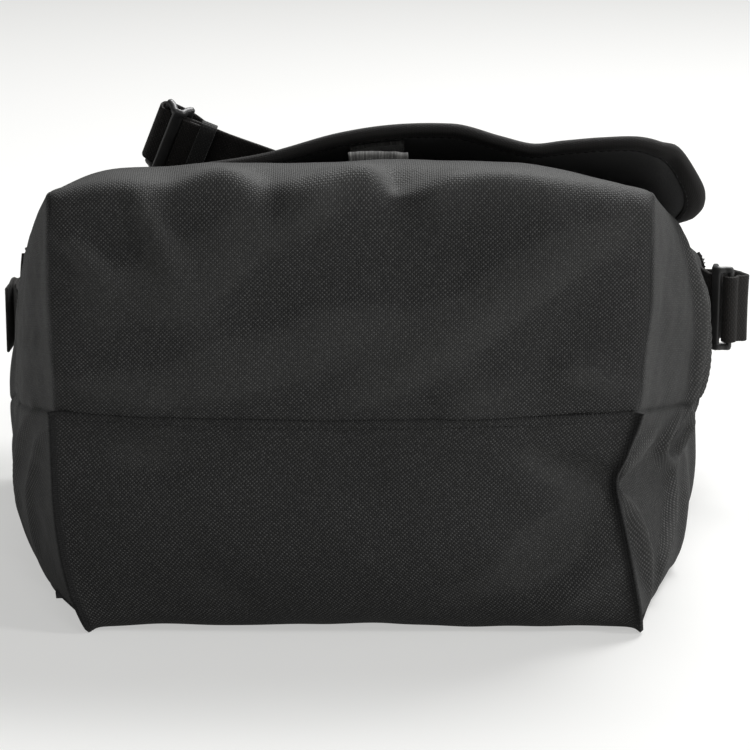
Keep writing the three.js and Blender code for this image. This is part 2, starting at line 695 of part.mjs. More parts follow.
add("strap_left_run", ribbon(LEFT_RUN, 75), WEBBING);
add("strap_top_run", ribbon(TOP_RUN, 28), WEBBING);
add("strap_right_run", ribbon(RIGHT_RUN, 26), WEBBING);

// The adjuster, the strap's end sewn round its middle bar, and the elastic loop that holds both layers.
lay(add("adjuster", slideBuckle(), PLASTIC), ADJUSTER, RUN, STAND);
const TAIL = { from: SLIDE.middle / 2 + GAP, to: 21.6, width: WEB_WIDTH - 1 };
lay(
  add(
    "strap_tail",
    new THREE.BoxGeometry(TAIL.to - TAIL.from, TAIL.width, WEB).translate((TAIL.from + TAIL.to) / 2, 0, 0),
    WEBBING,
  ),
  ADJUSTER.clone().addScaledVector(FACE, WEB + GAP),
  RUN,
  STAND,
);
const KEEPER = { width: 9, at: 18, thick: 1.6, room: 2.2, below: -3, above: 4.8 };
const keeperShape = new THREE.Shape();
const keepHalf = WEB_WIDTH / 2 + KEEPER.room;
keeperShape.moveTo(-keepHalf, KEEPER.below);
keeperShape.lineTo(keepHalf, KEEPER.below);
keeperShape.lineTo(keepHalf, KEEPER.above);
keeperShape.lineTo(-keepHalf, KEEPER.above);
const keeperHole = new THREE.Path();
const holeHalf = keepHalf - KEEPER.thick;
keeperHole.moveTo(-holeHalf, KEEPER.below + KEEPER.thick);
keeperHole.lineTo(-holeHalf, KEEPER.above - KEEPER.thick);
keeperHole.lineTo(holeHalf, KEEPER.above - KEEPER.thick);
keeperHole.lineTo(holeHalf, KEEPER.below + KEEPER.thick);
keeperShape.holes.push(keeperHole);
const keeper = new THREE.ExtrudeGeometry(keeperShape, { depth: KEEPER.width, bevelEnabled: false })
  .rotateX(Math.PI / 2)
  .rotateZ(-Math.PI / 2)
  .translate(KEEPER.width / 2, 0, 0);
lay(add("strap_keeper", keeper, ELASTIC), along(KEEPER.at), RUN, STAND);

// ---------------------------------------------------------------- right end: buckle on its anchor
const INNER_BAR = v3(215.5, 113, RIGHT_HEIGHT);
const OUTWARD = v3(0.62, -0.785, 0); // from the inner bar to the outer one
const barSpacing = SLIDE.wide - SLIDE.bar;
const buckleMiddle = INNER_BAR.clone().addScaledVector(OUTWARD, barSpacing / 2);
const buckleFace = OUTWARD.clone().cross(v3(0, 0, 1)).normalize();
buckleMiddle.addScaledVector(buckleFace, SLIDE.lift);
lay(add("end_buckle", slideBuckle(), PLASTIC), buckleMiddle, OUTWARD, v3(0, 0, 1));

// Webbing wrapped round a bar: a band from its tail round the bar and back.
function wrap(centre, radius, start, sweep, { before = [], after = [] }) {
  const turns = 10;
  const point = (x, y, z = centre.z) => [x, y, z, 0, 0, 1];
  const stations = before.map((place) => point(...place));
  for (let i = 0; i <= turns; i++) {
    const a = start + (sweep * i) / turns;
    stations.push(point(centre.x + radius * Math.cos(a), centre.y + radius * Math.sin(a)));
  }
  stations.push(...after.map((place) => point(...place)));
  return ribbon(stations, 3 * stations.length);
}
const wrapRadius = Math.hypot(SLIDE.bar, SLIDE.thick) / 2 + GAP + WEB / 2;
add(
  "anchor_webbing",
  wrap(INNER_BAR, wrapRadius, Math.PI * 0.98, Math.PI * 1.25, { before: [[209.6, 146], [209, 128]] }),
  WEBBING,
);
const outerBar = INNER_BAR.clone().addScaledVector(OUTWARD, barSpacing);
add(
  "strap_right_end",
  wrap(outerBar, wrapRadius, -Math.PI * 0.98, Math.PI, {
    after: [[233.2, 108, 112.5], [232.9, 124, 110.5], [232.9, 144, 107], [232.9, 164, 103.5]],
  }),
  WEBBING,
);

bag.position.set(-BOX_CENTRE.x, -BOX_CENTRE.y, 0);

export default bag;
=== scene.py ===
"""A messenger bag of black woven nylon, lying on its back panel, in a plain pale studio.

Shapes are worked out in millimetres in the bag's own layout: X across from its middle line, Y from
the base (-150) to the mouth (+150), Z up from the floor. Layout.place turns them into metres in the
shared frame.
"""

import logging
import math
from dataclasses import dataclass, field
from enum import Enum

import bpy
import numpy as np
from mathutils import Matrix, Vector


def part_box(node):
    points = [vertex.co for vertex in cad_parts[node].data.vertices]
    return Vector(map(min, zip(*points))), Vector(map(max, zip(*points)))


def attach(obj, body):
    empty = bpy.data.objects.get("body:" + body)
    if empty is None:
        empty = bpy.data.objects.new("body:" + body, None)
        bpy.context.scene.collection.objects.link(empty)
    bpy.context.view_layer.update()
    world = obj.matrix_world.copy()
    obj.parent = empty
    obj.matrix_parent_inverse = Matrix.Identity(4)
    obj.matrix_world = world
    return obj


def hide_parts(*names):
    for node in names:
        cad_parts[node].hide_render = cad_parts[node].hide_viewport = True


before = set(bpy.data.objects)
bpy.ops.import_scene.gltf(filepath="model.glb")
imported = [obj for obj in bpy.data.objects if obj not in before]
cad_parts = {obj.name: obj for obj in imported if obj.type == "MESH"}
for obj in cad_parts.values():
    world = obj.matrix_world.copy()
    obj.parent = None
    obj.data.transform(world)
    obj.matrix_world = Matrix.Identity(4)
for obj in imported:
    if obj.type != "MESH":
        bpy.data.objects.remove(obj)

Array = np.ndarray
Point = tuple[float, float, float]
Station = tuple[float, float]

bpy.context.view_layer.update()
MM = 0.001
LOG = logging.getLogger("messenger_bag")
SMALLEST_SPAN = 1e-3
FLOOR_CLEARANCE = 0.15


# ---------------------------------------------------------------- layout and curves
@dataclass(frozen=True)
class Layout:
    """Where the bag's own layout lies in the shared frame."""

    middle_x: float
    mouth_y: float
    body_length: float = 300.0

    @classmethod
    def from_frame(cls) -> "Layout":
        """Reads the body's middle line and its mouth from the front panel's box."""
        low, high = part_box("front_panel")
        return cls((low[0] + high[0]) / 2 / MM, high[1] / MM)

    def along(self, metres: float) -> float:
        """Turns a place along the shared frame, in metres, into the bag's layout."""
        return metres / MM - self.mouth_y + self.body_length / 2

    def place(self, points: Array) -> Array:
        """Moves points of the bag's layout into the frame.

        Args:
            points: An array of points in millimetres, the last axis X, Y, Z.

        Returns:
            The same points in metres in the shared frame.
        """
        shift = np.array([self.middle_x, self.mouth_y - self.body_length / 2, 0.0])
        return (np.asarray(points, float) + shift) * MM


LAYOUT = Layout.from_frame()


def smoothstep(value: Array | float) -> Array:
    """Eases from 0 to 1 as the value goes from 0 to 1."""
    t = np.clip(value, 0.0, 1.0)
    return t * t * (3 - 2 * t)


def unit(vectors: Array) -> Array:
    """Vectors scaled to a length of 1, along the last axis."""
    return vectors / np.maximum(np.linalg.norm(vectors, axis=-1, keepdims=True), 1e-9)


def signed_power(value: Array, power: float) -> Array:
    """Raises values to a power and keeps their signs, which squares up a circle."""
    return np.sign(value) * np.abs(value) ** power


def full_turn(count: int) -> Array:
    """Angles spaced evenly round a circle."""
    return np.linspace(0, math.tau, count, endpoint=False)


def eased(stations: list[Station], at: Array | float) -> Array:
    """Reads a smooth curve through stations.

    Args:
        stations: Pairs of position and value, with rising positions.
        at: Where the curve is read.

    Returns:
        The curve's values, with no overshoot between stations.
    """
    xs = np.array([s[0] for s in stations], float)
    ys = np.array([s[1] for s in stations], float)
    rise = np.diff(ys) / np.diff(xs)
    slope = np.concatenate([[rise[0]], (rise[1:] + rise[:-1]) / 2, [rise[-1]]])
    turning = np.concatenate([[False], rise[1:] * rise[:-1] <= 0, [False]])
    slope = np.where(turning, 0.0, slope)
    value = np.clip(np.asarray(at, float), xs[0], xs[-1])
    i = np.clip(np.searchsorted(xs, value) - 1, 0, len(xs) - 2)
    step = xs[i + 1] - xs[i]
    t = (value - xs[i]) / step
    first = (1 + 2 * t) * (1 - t) ** 2 * ys[i] + t * t * (3 - 2 * t) * ys[i + 1]
    return first + step * (t * (1 - t) ** 2 * slope[i] - t * t * (1 - t) * slope[i + 1])


def bezier(*corners: Point | Station, count: int = 24) -> Array:
    """Points along a Bezier curve of any degree.

    Args:
        corners: Its control points.
        count: How many points are returned.

    Returns:
        An array of count points.
    """
    t = np.linspace(0, 1, count)[:, None]
    rows = [np.repeat(np.array(c, float)[None], count, 0) for c in corners]
    while len(rows) > 1:
        rows = [a * (1 - t) + b * t for a, b in zip(rows, rows[1:])]
    return rows[0]


class Line:
    """A curve through close points, read by the share of its length."""

    def __init__(self, *pieces: Array) -> None:
        """Joins pieces of the curve end to end."""
        points = np.concatenate([np.atleast_2d(np.array(p, float)) for p in pieces])
        keep = np.concatenate([[True], np.linalg.norm(np.diff(points, axis=0), axis=1) > 1e-6])
        self.points = points[keep]
        steps = np.linalg.norm(np.diff(self.points, axis=0), axis=1)
        self.along = np.concatenate([[0.0], np.cumsum(steps)])
        self.length = float(self.along[-1])

    def at(self, share: Array | float) -> Array:
        """The curve's points at shares of its length, from 0 to 1."""
        distance = np.clip(share, 0, 1) * self.length
        parts = [np.interp(distance, self.along, column) for column in self.points.T]
        return np.stack(parts, -1)

    def tangent(self, share: Array | float) -> Array:
        """The curve's direction at shares of its length."""
        near = 1.5 / self.length
        share = np.asarray(share)
        ahead = self.at(np.minimum(share + near, 1)) - self.at(np.maximum(share - near, 0))
        return unit(ahead)


def through(stations: list[Point], per_gap: int = 14) -> Array:
    """A smooth curve through stations.

    Args:
        stations: Points of any dimension.
        per_gap: How many points lie in each gap.

    Returns:
        The curve's points.
    """
    rows = np.array(stations, float)
    padded = np.concatenate([[2 * rows[0] - rows[1]], rows, [2 * rows[-1] - rows[-2]]])
    t = np.linspace(0, 1, per_gap, endpoint=False)[:, None]
    pieces = []
    for i in range(len(rows) - 1):
        a, b, c, d = padded[i : i + 4]
        spans = [float(np.linalg.norm((q - p)[:3])) for p, q in ((a, b), (b, c), (c, d))]
        before, gap, after = (math.sqrt(max(span, SMALLEST_SPAN)) for span in spans)
        leave = ((b - a) / before - (c - a) / (before + gap) + (c - b) / gap) * gap
        reach = ((c - b) / gap - (d - b) / (gap + after) + (d - c) / after) * gap
        cubic = 2 * b - 2 * c + leave + reach
        square = 3 * c - 3 * b - 2 * leave - reach
        pieces.append(b + leave * t + square * t**2 + cubic * t**3)
    return np.concatenate(pieces + [rows[-1:]])


def ripple(a: Array, b: Array, size: float, seed: int) -> Array:
    """Soft waves with no plain repeat, between about -1 and 1.

    Args:
        a: First coordinate over the cloth.
        b: Second coordinate over the cloth.
        size: Length of the waves.
        seed: Chooses the pattern.

    Returns:
        The waves' height at each point.
    """
    choose = np.random.default_rng(seed)
    total = np.zeros(np.broadcast(a, b).shape)
    waves = 9
    for _ in range(waves):
        turn = choose.uniform(0, math.tau)
        pitch = size * choose.uniform(0.7, 1.9)
        phase = choose.uniform(0, math.tau)
        total += np.sin((a * math.cos(turn) + b * math.sin(turn)) * math.tau / pitch + phase)
    return total / (waves / 2)


@dataclass(frozen=True)
class Fold:
    """A ridge, or a valley where rise is below 0, pressed into cloth along a line on it."""

    line: tuple[Station, ...]
    rise: float
    width: float
    sharp: float = 2.0

    def height(self, a: Array, b: Array) -> Array:
        """The fold's height over the cloth.

        Args:
            a: First coordinate of each point of the cloth.
            b: Second coordinate.

        Returns:
            The height at each point, in millimetres.
        """
        path = Line(through(list(self.line), 6)) if len(self.line) > 2 else Line(np.array(self.line))
        nearest = np.full(a.shape, 1e9)
        along = np.zeros(a.shape)
        for start, end, done in zip(path.points, path.points[1:], path.along):
            run = end - start
            size = float(run @ run)
            t = np.clip(((a - start[0]) * run[0] + (b - start[1]) * run[1]) / size, 0, 1)
            gap = np.hypot(a - start[0] - t * run[0], b - start[1] - t * run[1])
            along = np.where(gap < nearest, (done + t * math.sqrt(size)) / path.length, along)
            nearest = np.minimum(nearest, gap)
        fade = np.sin(np.pi * np.clip(0.06 + 0.88 * along, 0, 1)) ** 0.7
        return self.rise * fade * np.exp(-((nearest / self.width) ** self.sharp))


# ---------------------------------------------------------------- finishes
class Finish(Enum):
    """The finishes of the bag's pieces."""

    NYLON = "bag_cloth"
    LINING = "lining_cloth"
    TAPE = "edge_tape"
    WEBBING = "strap_webbing"
    PLASTIC = "black_plastic"
    FOAM = "foam"
    PILE = "pile_strip"
    ELASTIC = "elastic_band"
    THREAD = "stitching_thread"


@dataclass(frozen=True)
class Woven:
    """A woven finish: its colours in linear light, its threads and how it takes light; its under colour is
    painted shade between the threads.
    """

    over: Point
    under: Point
    warp: float
    weft: float
    bump: float
    rough: float
    sheen: float
    sheen_rough: float = 0.5
    # Lighter colour for fold tops and the crest: partly real wear, partly painted highlight.
    worn_and_lit: Point = (0.12, 0.12, 0.115)
    dust: float = 0.0


@dataclass(frozen=True)
class Moulded:
    """A moulded finish, with a fine grain."""

    colour: Point
    rough: float
    coat: float


# In each finish the second colour, under, is painted shade in the hollows between threads.
WOVEN: dict[Finish, Woven] = {
    Finish.NYLON: Woven((0.105, 0.105, 0.103), (0.002, 0.002, 0.002), 1.08, 1.04, 0.6, 0.62, 0.02, dust=1.0),
    Finish.LINING: Woven((0.085, 0.085, 0.086), (0.07, 0.07, 0.07), 0.34, 0.34, 0.08, 0.36, 0.08),
    Finish.TAPE: Woven((0.012, 0.010, 0.009), (0.006, 0.005, 0.0045), 1.3, 0.6, 0.2, 0.72, 0.04),
    Finish.WEBBING: Woven((0.019, 0.0155, 0.0135), (0.009, 0.0075, 0.0065), 1.5, 0.95, 0.4, 0.72, 0.05),
    Finish.PILE: Woven((0.15, 0.148, 0.142), (0.12, 0.118, 0.113), 0.8, 0.8, 0.3, 0.95, 0.4),
    Finish.ELASTIC: Woven((0.018, 0.017, 0.0165), (0.009, 0.009, 0.0085), 0.9, 1.6, 0.35, 0.7, 0.15),
}
MOULDED: dict[Finish, Moulded] = {
    Finish.PLASTIC: Moulded((0.022, 0.022, 0.022), 0.34, 0.2),
    Finish.FOAM: Moulded((0.05, 0.05, 0.053), 0.92, 0.0),
    Finish.THREAD: Moulded((0.012, 0.012, 0.012), 0.55, 0.0),
}


class NodeBook:
    """Makes and joins nodes in one node tree."""

    def __init__(self, tree: bpy.types.NodeTree) -> None:
        """Keeps the tree that the nodes are made in."""
        self.tree = tree

    def add(self, kind: str, **values: object) -> bpy.types.Node:
        """Adds a node.

        Args:
            kind: The node's type name, without its ShaderNode prefix unless it is a group's own node.
            values: Settings of the node, by name.

        Returns:
            The new node.
        """
        node = self.tree.nodes.new(kind if kind.startswith("NodeGroup") else "ShaderNode" + kind)
        for name, value in values.items():
            setattr(node, name, value)
        return node

    def join(self, source: bpy.types.NodeSocket | float, target: bpy.types.NodeSocket) -> None:
        """Links a socket to a socket, or sets a number on it."""
        if isinstance(source, bpy.types.NodeSocket):
            self.tree.links.new(source, target)
        else:
            target.default_value = source

    def math(self, what: str, a: object, b: object = 0.0) -> bpy.types.NodeSocket:
        """Adds a Math node.

        Args:
            what: Its operation.
            a: First socket or number.
            b: Second socket or number.

        Returns:
            The node's output.
        """
        node = self.add("Math", operation=what)
        self.join(a, node.inputs[0])
        self.join(b, node.inputs[1])
        return node.outputs[0]

    def linear(self, value: object, gain: object, start: object) -> bpy.types.NodeSocket:
        """Adds nodes for a value times a gain plus a start and returns their output."""
        return self.math("ADD", self.math("MULTIPLY", value, gain), start)

    def scaled(self, vector: bpy.types.NodeSocket, by: object) -> bpy.types.NodeSocket:
        """Adds a node that scales a vector and returns its output."""
        node = self.add("VectorMath", operation="SCALE")
        self.join(vector, node.inputs[0])
        self.join(by, node.inputs["Scale"])
        return node.outputs[0]

    def noise(self, place: bpy.types.NodeSocket, scale: float, detail: float) -> bpy.types.Node:
        """Adds a noise texture over a place and returns its node."""
        node = self.add("TexNoise")
        node.inputs["Scale"].default_value = scale
        node.inputs["Detail"].default_value = detail
        self.join(place, node.inputs["Vector"])
        return node

    def bump(self, shader: bpy.types.Node, height: object, strength: float, depth: float) -> None:
        """Bumps a shader by a height, with the depth in millimetres."""
        node = self.add("Bump")
        node.inputs["Strength"].default_value = strength
        node.inputs["Distance"].default_value = depth * MM
        self.join(height, node.inputs["Height"])
        self.join(node.outputs[0], shader.inputs["Normal"])

    def blend(self, share: object, a: object, b: object) -> bpy.types.NodeSocket:
        """Adds a colour mix of a and b by a share from 0 to 1 and returns its output."""
        node = self.add("Mix", data_type="RGBA")
        self.join(share, node.inputs[0])
        for colour, socket in ((a, node.inputs[6]), (b, node.inputs[7])):
            self.join(colour if isinstance(colour, bpy.types.NodeSocket) else (*colour, 1.0), socket)
        return node.outputs[2]


def new_group(name: str, inputs: dict[str, tuple[str, object]], outputs: dict[str, str]) -> tuple:
    """Starts a shader node group with named sockets.

    Args:
        name: The group's name.
        inputs: Each input's socket type and default, by name.
        outputs: Each output's socket type, by name.

    Returns:
        The group's tree, its NodeBook, its input node and its output node.
    """
    tree = bpy.data.node_groups.new(name, "ShaderNodeTree")
    for label, (kind, default) in inputs.items():
        socket = tree.interface.new_socket(label, in_out="INPUT", socket_type=kind)
        if default is not None:
            socket.default_value = default
    for label, kind in outputs.items():
        tree.interface.new_socket(label, in_out="OUTPUT", socket_type=kind)
    book = NodeBook(tree)
    return tree, book, book.add("NodeGroupInput"), book.add("NodeGroupOutput")


def weave_group() -> bpy.types.NodeTree:
    """A plain weave: warp and weft threads that pass over each other in turn.

    Returns:
        The group, which puts out the cloth's height, which thread is on top, and thread-by-thread variation.
    """
    number = "NodeSocketFloat"
    sizes = {"Vector": ("NodeSocketVector", None), "Warp": (number, 0.9), "Weft": (number, 0.9)}
    outputs = dict.fromkeys(("Height", "Over", "Variation"), number)
    tree, book, into, out = new_group("plain_weave", sizes, outputs)
    drift = book.noise(into.outputs["Vector"], 0.035, 1.0)
    bent = book.add("VectorMath", operation="ADD")
    book.join(into.outputs["Vector"], bent.inputs[0])
    book.join(book.scaled(drift.outputs["Color"], 2.2), bent.inputs[1])
    parts = book.add("SeparateXYZ")
    book.join(bent.outputs[0], parts.inputs[0])
    cell = book.add("CombineXYZ")
    waves = []
    for axis, label in enumerate(("Warp", "Weft")):
        thread = book.math("DIVIDE", parts.outputs[axis], into.outputs[label])
        waves.append(book.math("SINE", book.math("MULTIPLY", thread, math.pi)))
        book.join(book.math("FLOOR", thread), cell.inputs[axis])
    product = book.math("MULTIPLY", *waves)
    over = book.linear(product, 0.5, 0.5)
    ribs = book.math("MULTIPLY", book.math("ABSOLUTE", product), 0.45)
    speckle = book.add("TexWhiteNoise", noise_dimensions="2D")
    book.join(cell.outputs[0], speckle.inputs["Vector"])
    book.join(book.linear(over, 0.55, ribs), out.inputs["Height"])
    book.join(over, out.inputs["Over"])
    book.join(speckle.outputs["Value"], out.inputs["Variation"])
    return tree


def dust_group() -> bpy.types.NodeTree:
    """Sparse pale specks of lint and dust.

    Returns:
        The group, which puts out a mask of the specks.
    """
    sizes = {"Vector": ("NodeSocketVector", None), "Spacing": ("NodeSocketFloat", 14.0)}
    tree, book, into, out = new_group("lint_and_dust", sizes, {"Mask": "NodeSocketFloat"})
    small = book.scaled(into.outputs["Vector"], book.math("DIVIDE", 1.0, into.outputs["Spacing"]))
    cells = book.add("TexVoronoi", voronoi_dimensions="2D")
    cells.inputs["Scale"].default_value = 1.0
    book.join(small, cells.inputs["Vector"])
    tone = book.add("SeparateColor")
    book.join(cells.outputs["Color"], tone.inputs[0])
    size = book.math("MULTIPLY", book.math("SUBTRACT", tone.outputs[0], 0.72), 0.11)
    inside = book.math("MULTIPLY", book.math("SUBTRACT", size, cells.outputs["Distance"]), 60.0)
    speck = book.math("SMOOTH_MIN", 1.0, inside)
    book.join(book.math("MAXIMUM", speck, 0.0), out.inputs["Mask"])
    return tree


def wear_and_light_group() -> bpy.types.NodeTree:
    """Folds lightened, partly by real rubbing and partly as painted highlight, and cloudy tone over a cloth.

    Returns:
        The group, which puts out a mask of rubbed places with painted highlight on folds, and a slow cloudy
        value.
    """
    sizes = {"Vector": ("NodeSocketVector", None), "Ridge": ("NodeSocketFloat", 0.0)}
    outs = {"RubbedAndLit": "NodeSocketFloat", "Cloud": "NodeSocketFloat"}
    tree, book, into, out = new_group("rubbed_and_lit_folds", sizes, outs)
    cloud = book.noise(into.outputs["Vector"], 0.016, 3.0)
    grain = book.noise(into.outputs["Vector"], 0.6, 4.0)
    broken = book.linear(grain.outputs["Fac"], 0.8, 0.5)
    rubbed_and_lit = book.math("MULTIPLY", into.outputs["Ridge"], broken)
    book.join(book.math("MINIMUM", rubbed_and_lit, 1.0), out.inputs["RubbedAndLit"])
    book.join(cloud.outputs["Fac"], out.inputs["Cloud"])
    return tree


class Wardrobe:
    """Builds each finish's material once."""

    thread_edge = 2.4
    # seam_shade and deepest_shade darken the cloth along its seams: painted shadow in the seams' grooves.
    seam_shade = 1.3
    deepest_shade = 0.96
    # How far fold tops and the crest take the lighter worn colour: partly real rubbing, partly painted
    # highlight.
    rubbed_and_lit_share = 0.3
    dust_share = 0.35
    dust_colour: Point = (0.3, 0.29, 0.27)
    thread_gloss = 0.12

    def __init__(self) -> None:
        """Makes the shared node groups."""
        self.weave = weave_group()
        self.dust = dust_group()
        self.wear_and_light = wear_and_light_group()
        self.made: dict[Finish, bpy.types.Material] = {}

    def material(self, finish: Finish) -> bpy.types.Material:
        """The finish's material, made when it is first asked for."""
        if finish not in self.made:
            material = bpy.data.materials.new(finish.value)
            material.use_nodes = True
            material.node_tree.nodes.clear()
            if finish in WOVEN:
                self._woven(NodeBook(material.node_tree), WOVEN[finish])
            else:
                self._moulded(NodeBook(material.node_tree), MOULDED[finish])
            self.made[finish] = material
        return self.made[finish]

    @staticmethod
    def _cloth_place(book: NodeBook) -> bpy.types.NodeSocket:
        """The place on the cloth in millimetres, from its flat pattern."""
        return book.scaled(book.add("UVMap", uv_map="UVMap").outputs[0], 1 / MM)

    @staticmethod
    def _surface(book: NodeBook) -> bpy.types.Node:
        """Adds the Principled shader and the material's output and returns the shader."""
        shader = book.add("BsdfPrincipled")
        output = book.add("OutputMaterial")
        book.join(shader.outputs[0], output.inputs["Surface"])
        return shader

    def _woven(self, book: NodeBook, cloth: Woven) -> None:
        """Dresses a woven finish.

        Args:
            book: The material's nodes.
            cloth: Its colours, threads and sheen.
        """
        shader = self._surface(book)
        place = self._cloth_place(book)
        weave = book.add("Group", node_tree=self.weave)
        weave.inputs["Warp"].default_value = cloth.warp
        weave.inputs["Weft"].default_value = cloth.weft
        book.join(place, weave.inputs["Vector"])
        ridge = book.add("Attribute", attribute_name="ridge", attribute_type="GEOMETRY")
        wear_and_light = book.add("Group", node_tree=self.wear_and_light)
        book.join(place, wear_and_light.inputs["Vector"])
        book.join(ridge.outputs["Fac"], wear_and_light.inputs["Ridge"])
        dust = book.add("Group", node_tree=self.dust)
        book.join(place, dust.inputs["Vector"])
        # Lower threads and gaps take the darker under colour: painted shade in the weave's hollows.
        top = book.math("POWER", weave.outputs["Over"], self.thread_edge)
        thread = book.blend(top, cloth.under, cloth.over)
        uneven = book.linear(weave.outputs["Variation"], 0.8, 0.5)
        cloudy = book.linear(wear_and_light.outputs["Cloud"], 0.5, 0.75)
        # Painted seam shadow: the seam attribute darkens the cloth along its seams' grooves.
        seam = book.add("Attribute", attribute_name="seam", attribute_type="GEOMETRY")
        shade = book.math("MULTIPLY", seam.outputs["Fac"], self.seam_shade)
        unlit = book.math("SUBTRACT", 1.0, book.math("MINIMUM", shade, self.deepest_shade))
        tone = book.math("MULTIPLY", book.math("MULTIPLY", uneven, cloudy), unlit)
        # Lighter cloth on fold tops and the crest: partly real rubbing, partly painted highlight.
        rub_and_light = book.math("MULTIPLY", wear_and_light.outputs["RubbedAndLit"], self.rubbed_and_lit_share)
        rubbed_and_lit = book.blend(rub_and_light, book.scaled(thread, tone), cloth.worn_and_lit)
        specks = book.math("MULTIPLY", dust.outputs["Mask"], self.dust_share * cloth.dust)
        book.join(book.blend(specks, rubbed_and_lit, self.dust_colour), shader.inputs["Base Color"])
        rough = book.linear(weave.outputs["Variation"], self.thread_gloss, cloth.rough)
        book.join(rough, shader.inputs["Roughness"])
        shader.inputs["Specular IOR Level"].default_value = 0.5
        shader.inputs["Sheen Weight"].default_value = cloth.sheen
        shader.inputs["Sheen Roughness"].default_value = cloth.sheen_rough
        book.bump(shader, weave.outputs["Height"], 1.0, cloth.bump)

    def _moulded(self, book: NodeBook, moulded: Moulded) -> None:
        """Dresses a moulded finish.

        Args:
            book: The material's nodes.
            moulded: Its colour, roughness and coat.
        """
        shader = self._surface(book)
        place = book.add("TexCoord").outputs["Object"]
        grain = book.noise(place, 900.0, 3.0)
        scuffs = book.noise(place, 120.0, 5.0)
        pale = tuple(channel * 1.8 + 0.004 for channel in moulded.colour)
        book.join(book.blend(scuffs.outputs["Fac"], moulded.colour, pale), shader.inputs["Base Color"])
        book.join(book.linear(scuffs.outputs["Fac"], 0.14, moulded.rough), shader.inputs["Roughness"])
        shader.inputs["Coat Weight"].default_value = moulded.coat
        shader.inputs["Coat Roughness"].default_value = 0.2
        book.bump(shader, grain.outputs["Fac"], 0.5, 0.05)


WARDROBE = Wardrobe()


# ---------------------------------------------------------------- meshes
def surface_normals(points: Array) -> Array:
    """Unit normals of a grid of points, rows by columns."""
    across = np.gradient(points, axis=1)
    along = np.gradient(points, axis=0)
    normal = np.cross(across, along)
    return unit(normal)


def pattern_of(points: Array) -> Array:
    """The flat pattern of a grid of points: lengths along its middle row and column, in millimetres.

    Args:
        points: Rows by columns of points.

    Returns:
        Rows by columns of flat coordinates.
    """
    rows, columns = points.shape[:2]
    across = np.linalg.norm(np.diff(points, axis=1), axis=-1).cumsum(1)
    across = np.concatenate([np.zeros((rows, 1)), across], 1)
    across = across - across[:, columns // 2 : columns // 2 + 1]
    middle = np.linalg.norm(np.diff(points[:, columns // 2], axis=0), axis=-1).cumsum()
    along = np.concatenate([[0.0], middle])[:, None].repeat(columns, 1)
    return np.stack([across, along], -1)


@dataclass
class MeshData:
    """Vertices, faces and flat pattern of a piece before it becomes an object."""

    points: list[Array] = field(default_factory=list)
    faces: list[tuple[int, ...]] = field(default_factory=list)
    pattern: list[Array] = field(default_factory=list)
    count: int = 0

    def grid(self, points: Array, pattern: Array, around: bool = False, flip: bool = False) -> None:
        """Adds a grid of quads.

        Args:
            points: Rows by columns of points.
            pattern: The flat coordinates of each point.
            around: Whether the last column joins the first.
            flip: Whether the faces look the other way.
        """
        rows, columns = points.shape[:2]
        for r in range(rows - 1):
            for c in range(columns if around else columns - 1):
                d = (c + 1) % columns
                face = (r * columns + c, r * columns + d, (r + 1) * columns + d, (r + 1) * columns + c)
                self.faces.append(tuple(self.count + k for k in (face[::-1] if flip else face)))
        self.points.append(points.reshape(-1, 3))
        self.pattern.append(pattern.reshape(-1, 2))
        self.count += rows * columns

    def rod(self, rings: Array, pattern: Array | None = None, flip: bool = False) -> None:
        """Adds a closed rod.

        Args:
            rings: Rings by points round each of points, from one end to the other.
            pattern: The flat coordinates of each point, or nothing where it has no weave.
            flip: Whether the faces look the other way.
        """
        count, around = rings.shape[:2]
        first = [self.count + k for k in range(around)]
        last = [k + (count - 1) * around for k in first]
        self.grid(rings, np.zeros((count, around, 2)) if pattern is None else pattern, around=True, flip=flip)
        self.faces.append(tuple(first if flip else first[::-1]))
        self.faces.append(tuple(last[::-1] if flip else last))

    def make(
        self, name: str, finish: Finish, ridge: Array | None = None, seam: Array | None = None
    ) -> bpy.types.Object:
        """Makes the object.

        Args:
            name: The piece's name.
            finish: Its finish.
            ridge: How strongly each vertex stands on a fold, from 0 to 1; the cloth is lightened there,
                partly real rubbing and partly painted highlight.
            seam: How deep each vertex lies in a seam, from 0 to 1; the material darkens the cloth there as
                painted seam shadow.

        Returns:
            The new object, linked to the scene.
        """
        points = LAYOUT.place(np.concatenate(self.points))
        pattern = np.concatenate(self.pattern) * MM
        mesh = bpy.data.meshes.new(name)
        mesh.from_pydata(points.tolist(), [], self.faces)
        layer = mesh.uv_layers.new(name="UVMap")
        corner_vertex = np.zeros(len(mesh.loops), int)
        mesh.loops.foreach_get("vertex_index", corner_vertex)
        layer.data.foreach_set("uv", pattern[corner_vertex].ravel())
        for label, given in (("ridge", ridge), ("seam", seam)):
            mark = mesh.attributes.new(label, "FLOAT", "POINT")
            values = np.zeros(len(points)) if given is None else np.clip(given.ravel(), 0, 1)
            mark.data.foreach_set("value", values.astype(float))
        mesh.polygons.foreach_set("use_smooth", [True] * len(mesh.polygons))
        mesh.validate()
        mesh.update()
        piece = bpy.data.objects.new(name, mesh)
        bpy.context.scene.collection.objects.link(piece)
        mesh.materials.append(WARDROBE.material(finish))
        return piece


def thicken(piece: bpy.types.Object, thickness: float) -> None:
    """Gives a sheet its thickness in millimetres, grown against its normals."""
    solid = piece.modifiers.new("thickness", "SOLIDIFY")
    solid.thickness = thickness * MM
    solid.offset = -1.0


def mount(piece: bpy.types.Object, body: str, *nodes: str) -> bpy.types.Object:
    """Makes a piece ride on a body and stand for CAD nodes.

    Args:
        piece: The object.
        body: The body that carries it.
        nodes: The nodes it replaces.

    Returns:
        The same object.
    """
    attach(piece, body)
    if nodes:
        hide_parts(*nodes)
    LOG.info("built %s with %d faces", piece.name, len(piece.data.polygons))
    return piece


@dataclass(frozen=True)
class Sewing:
    """A row's stitches: each one's length, the cloth between two, and the thread's radius."""

    long: float
    gap: float
    thick: float


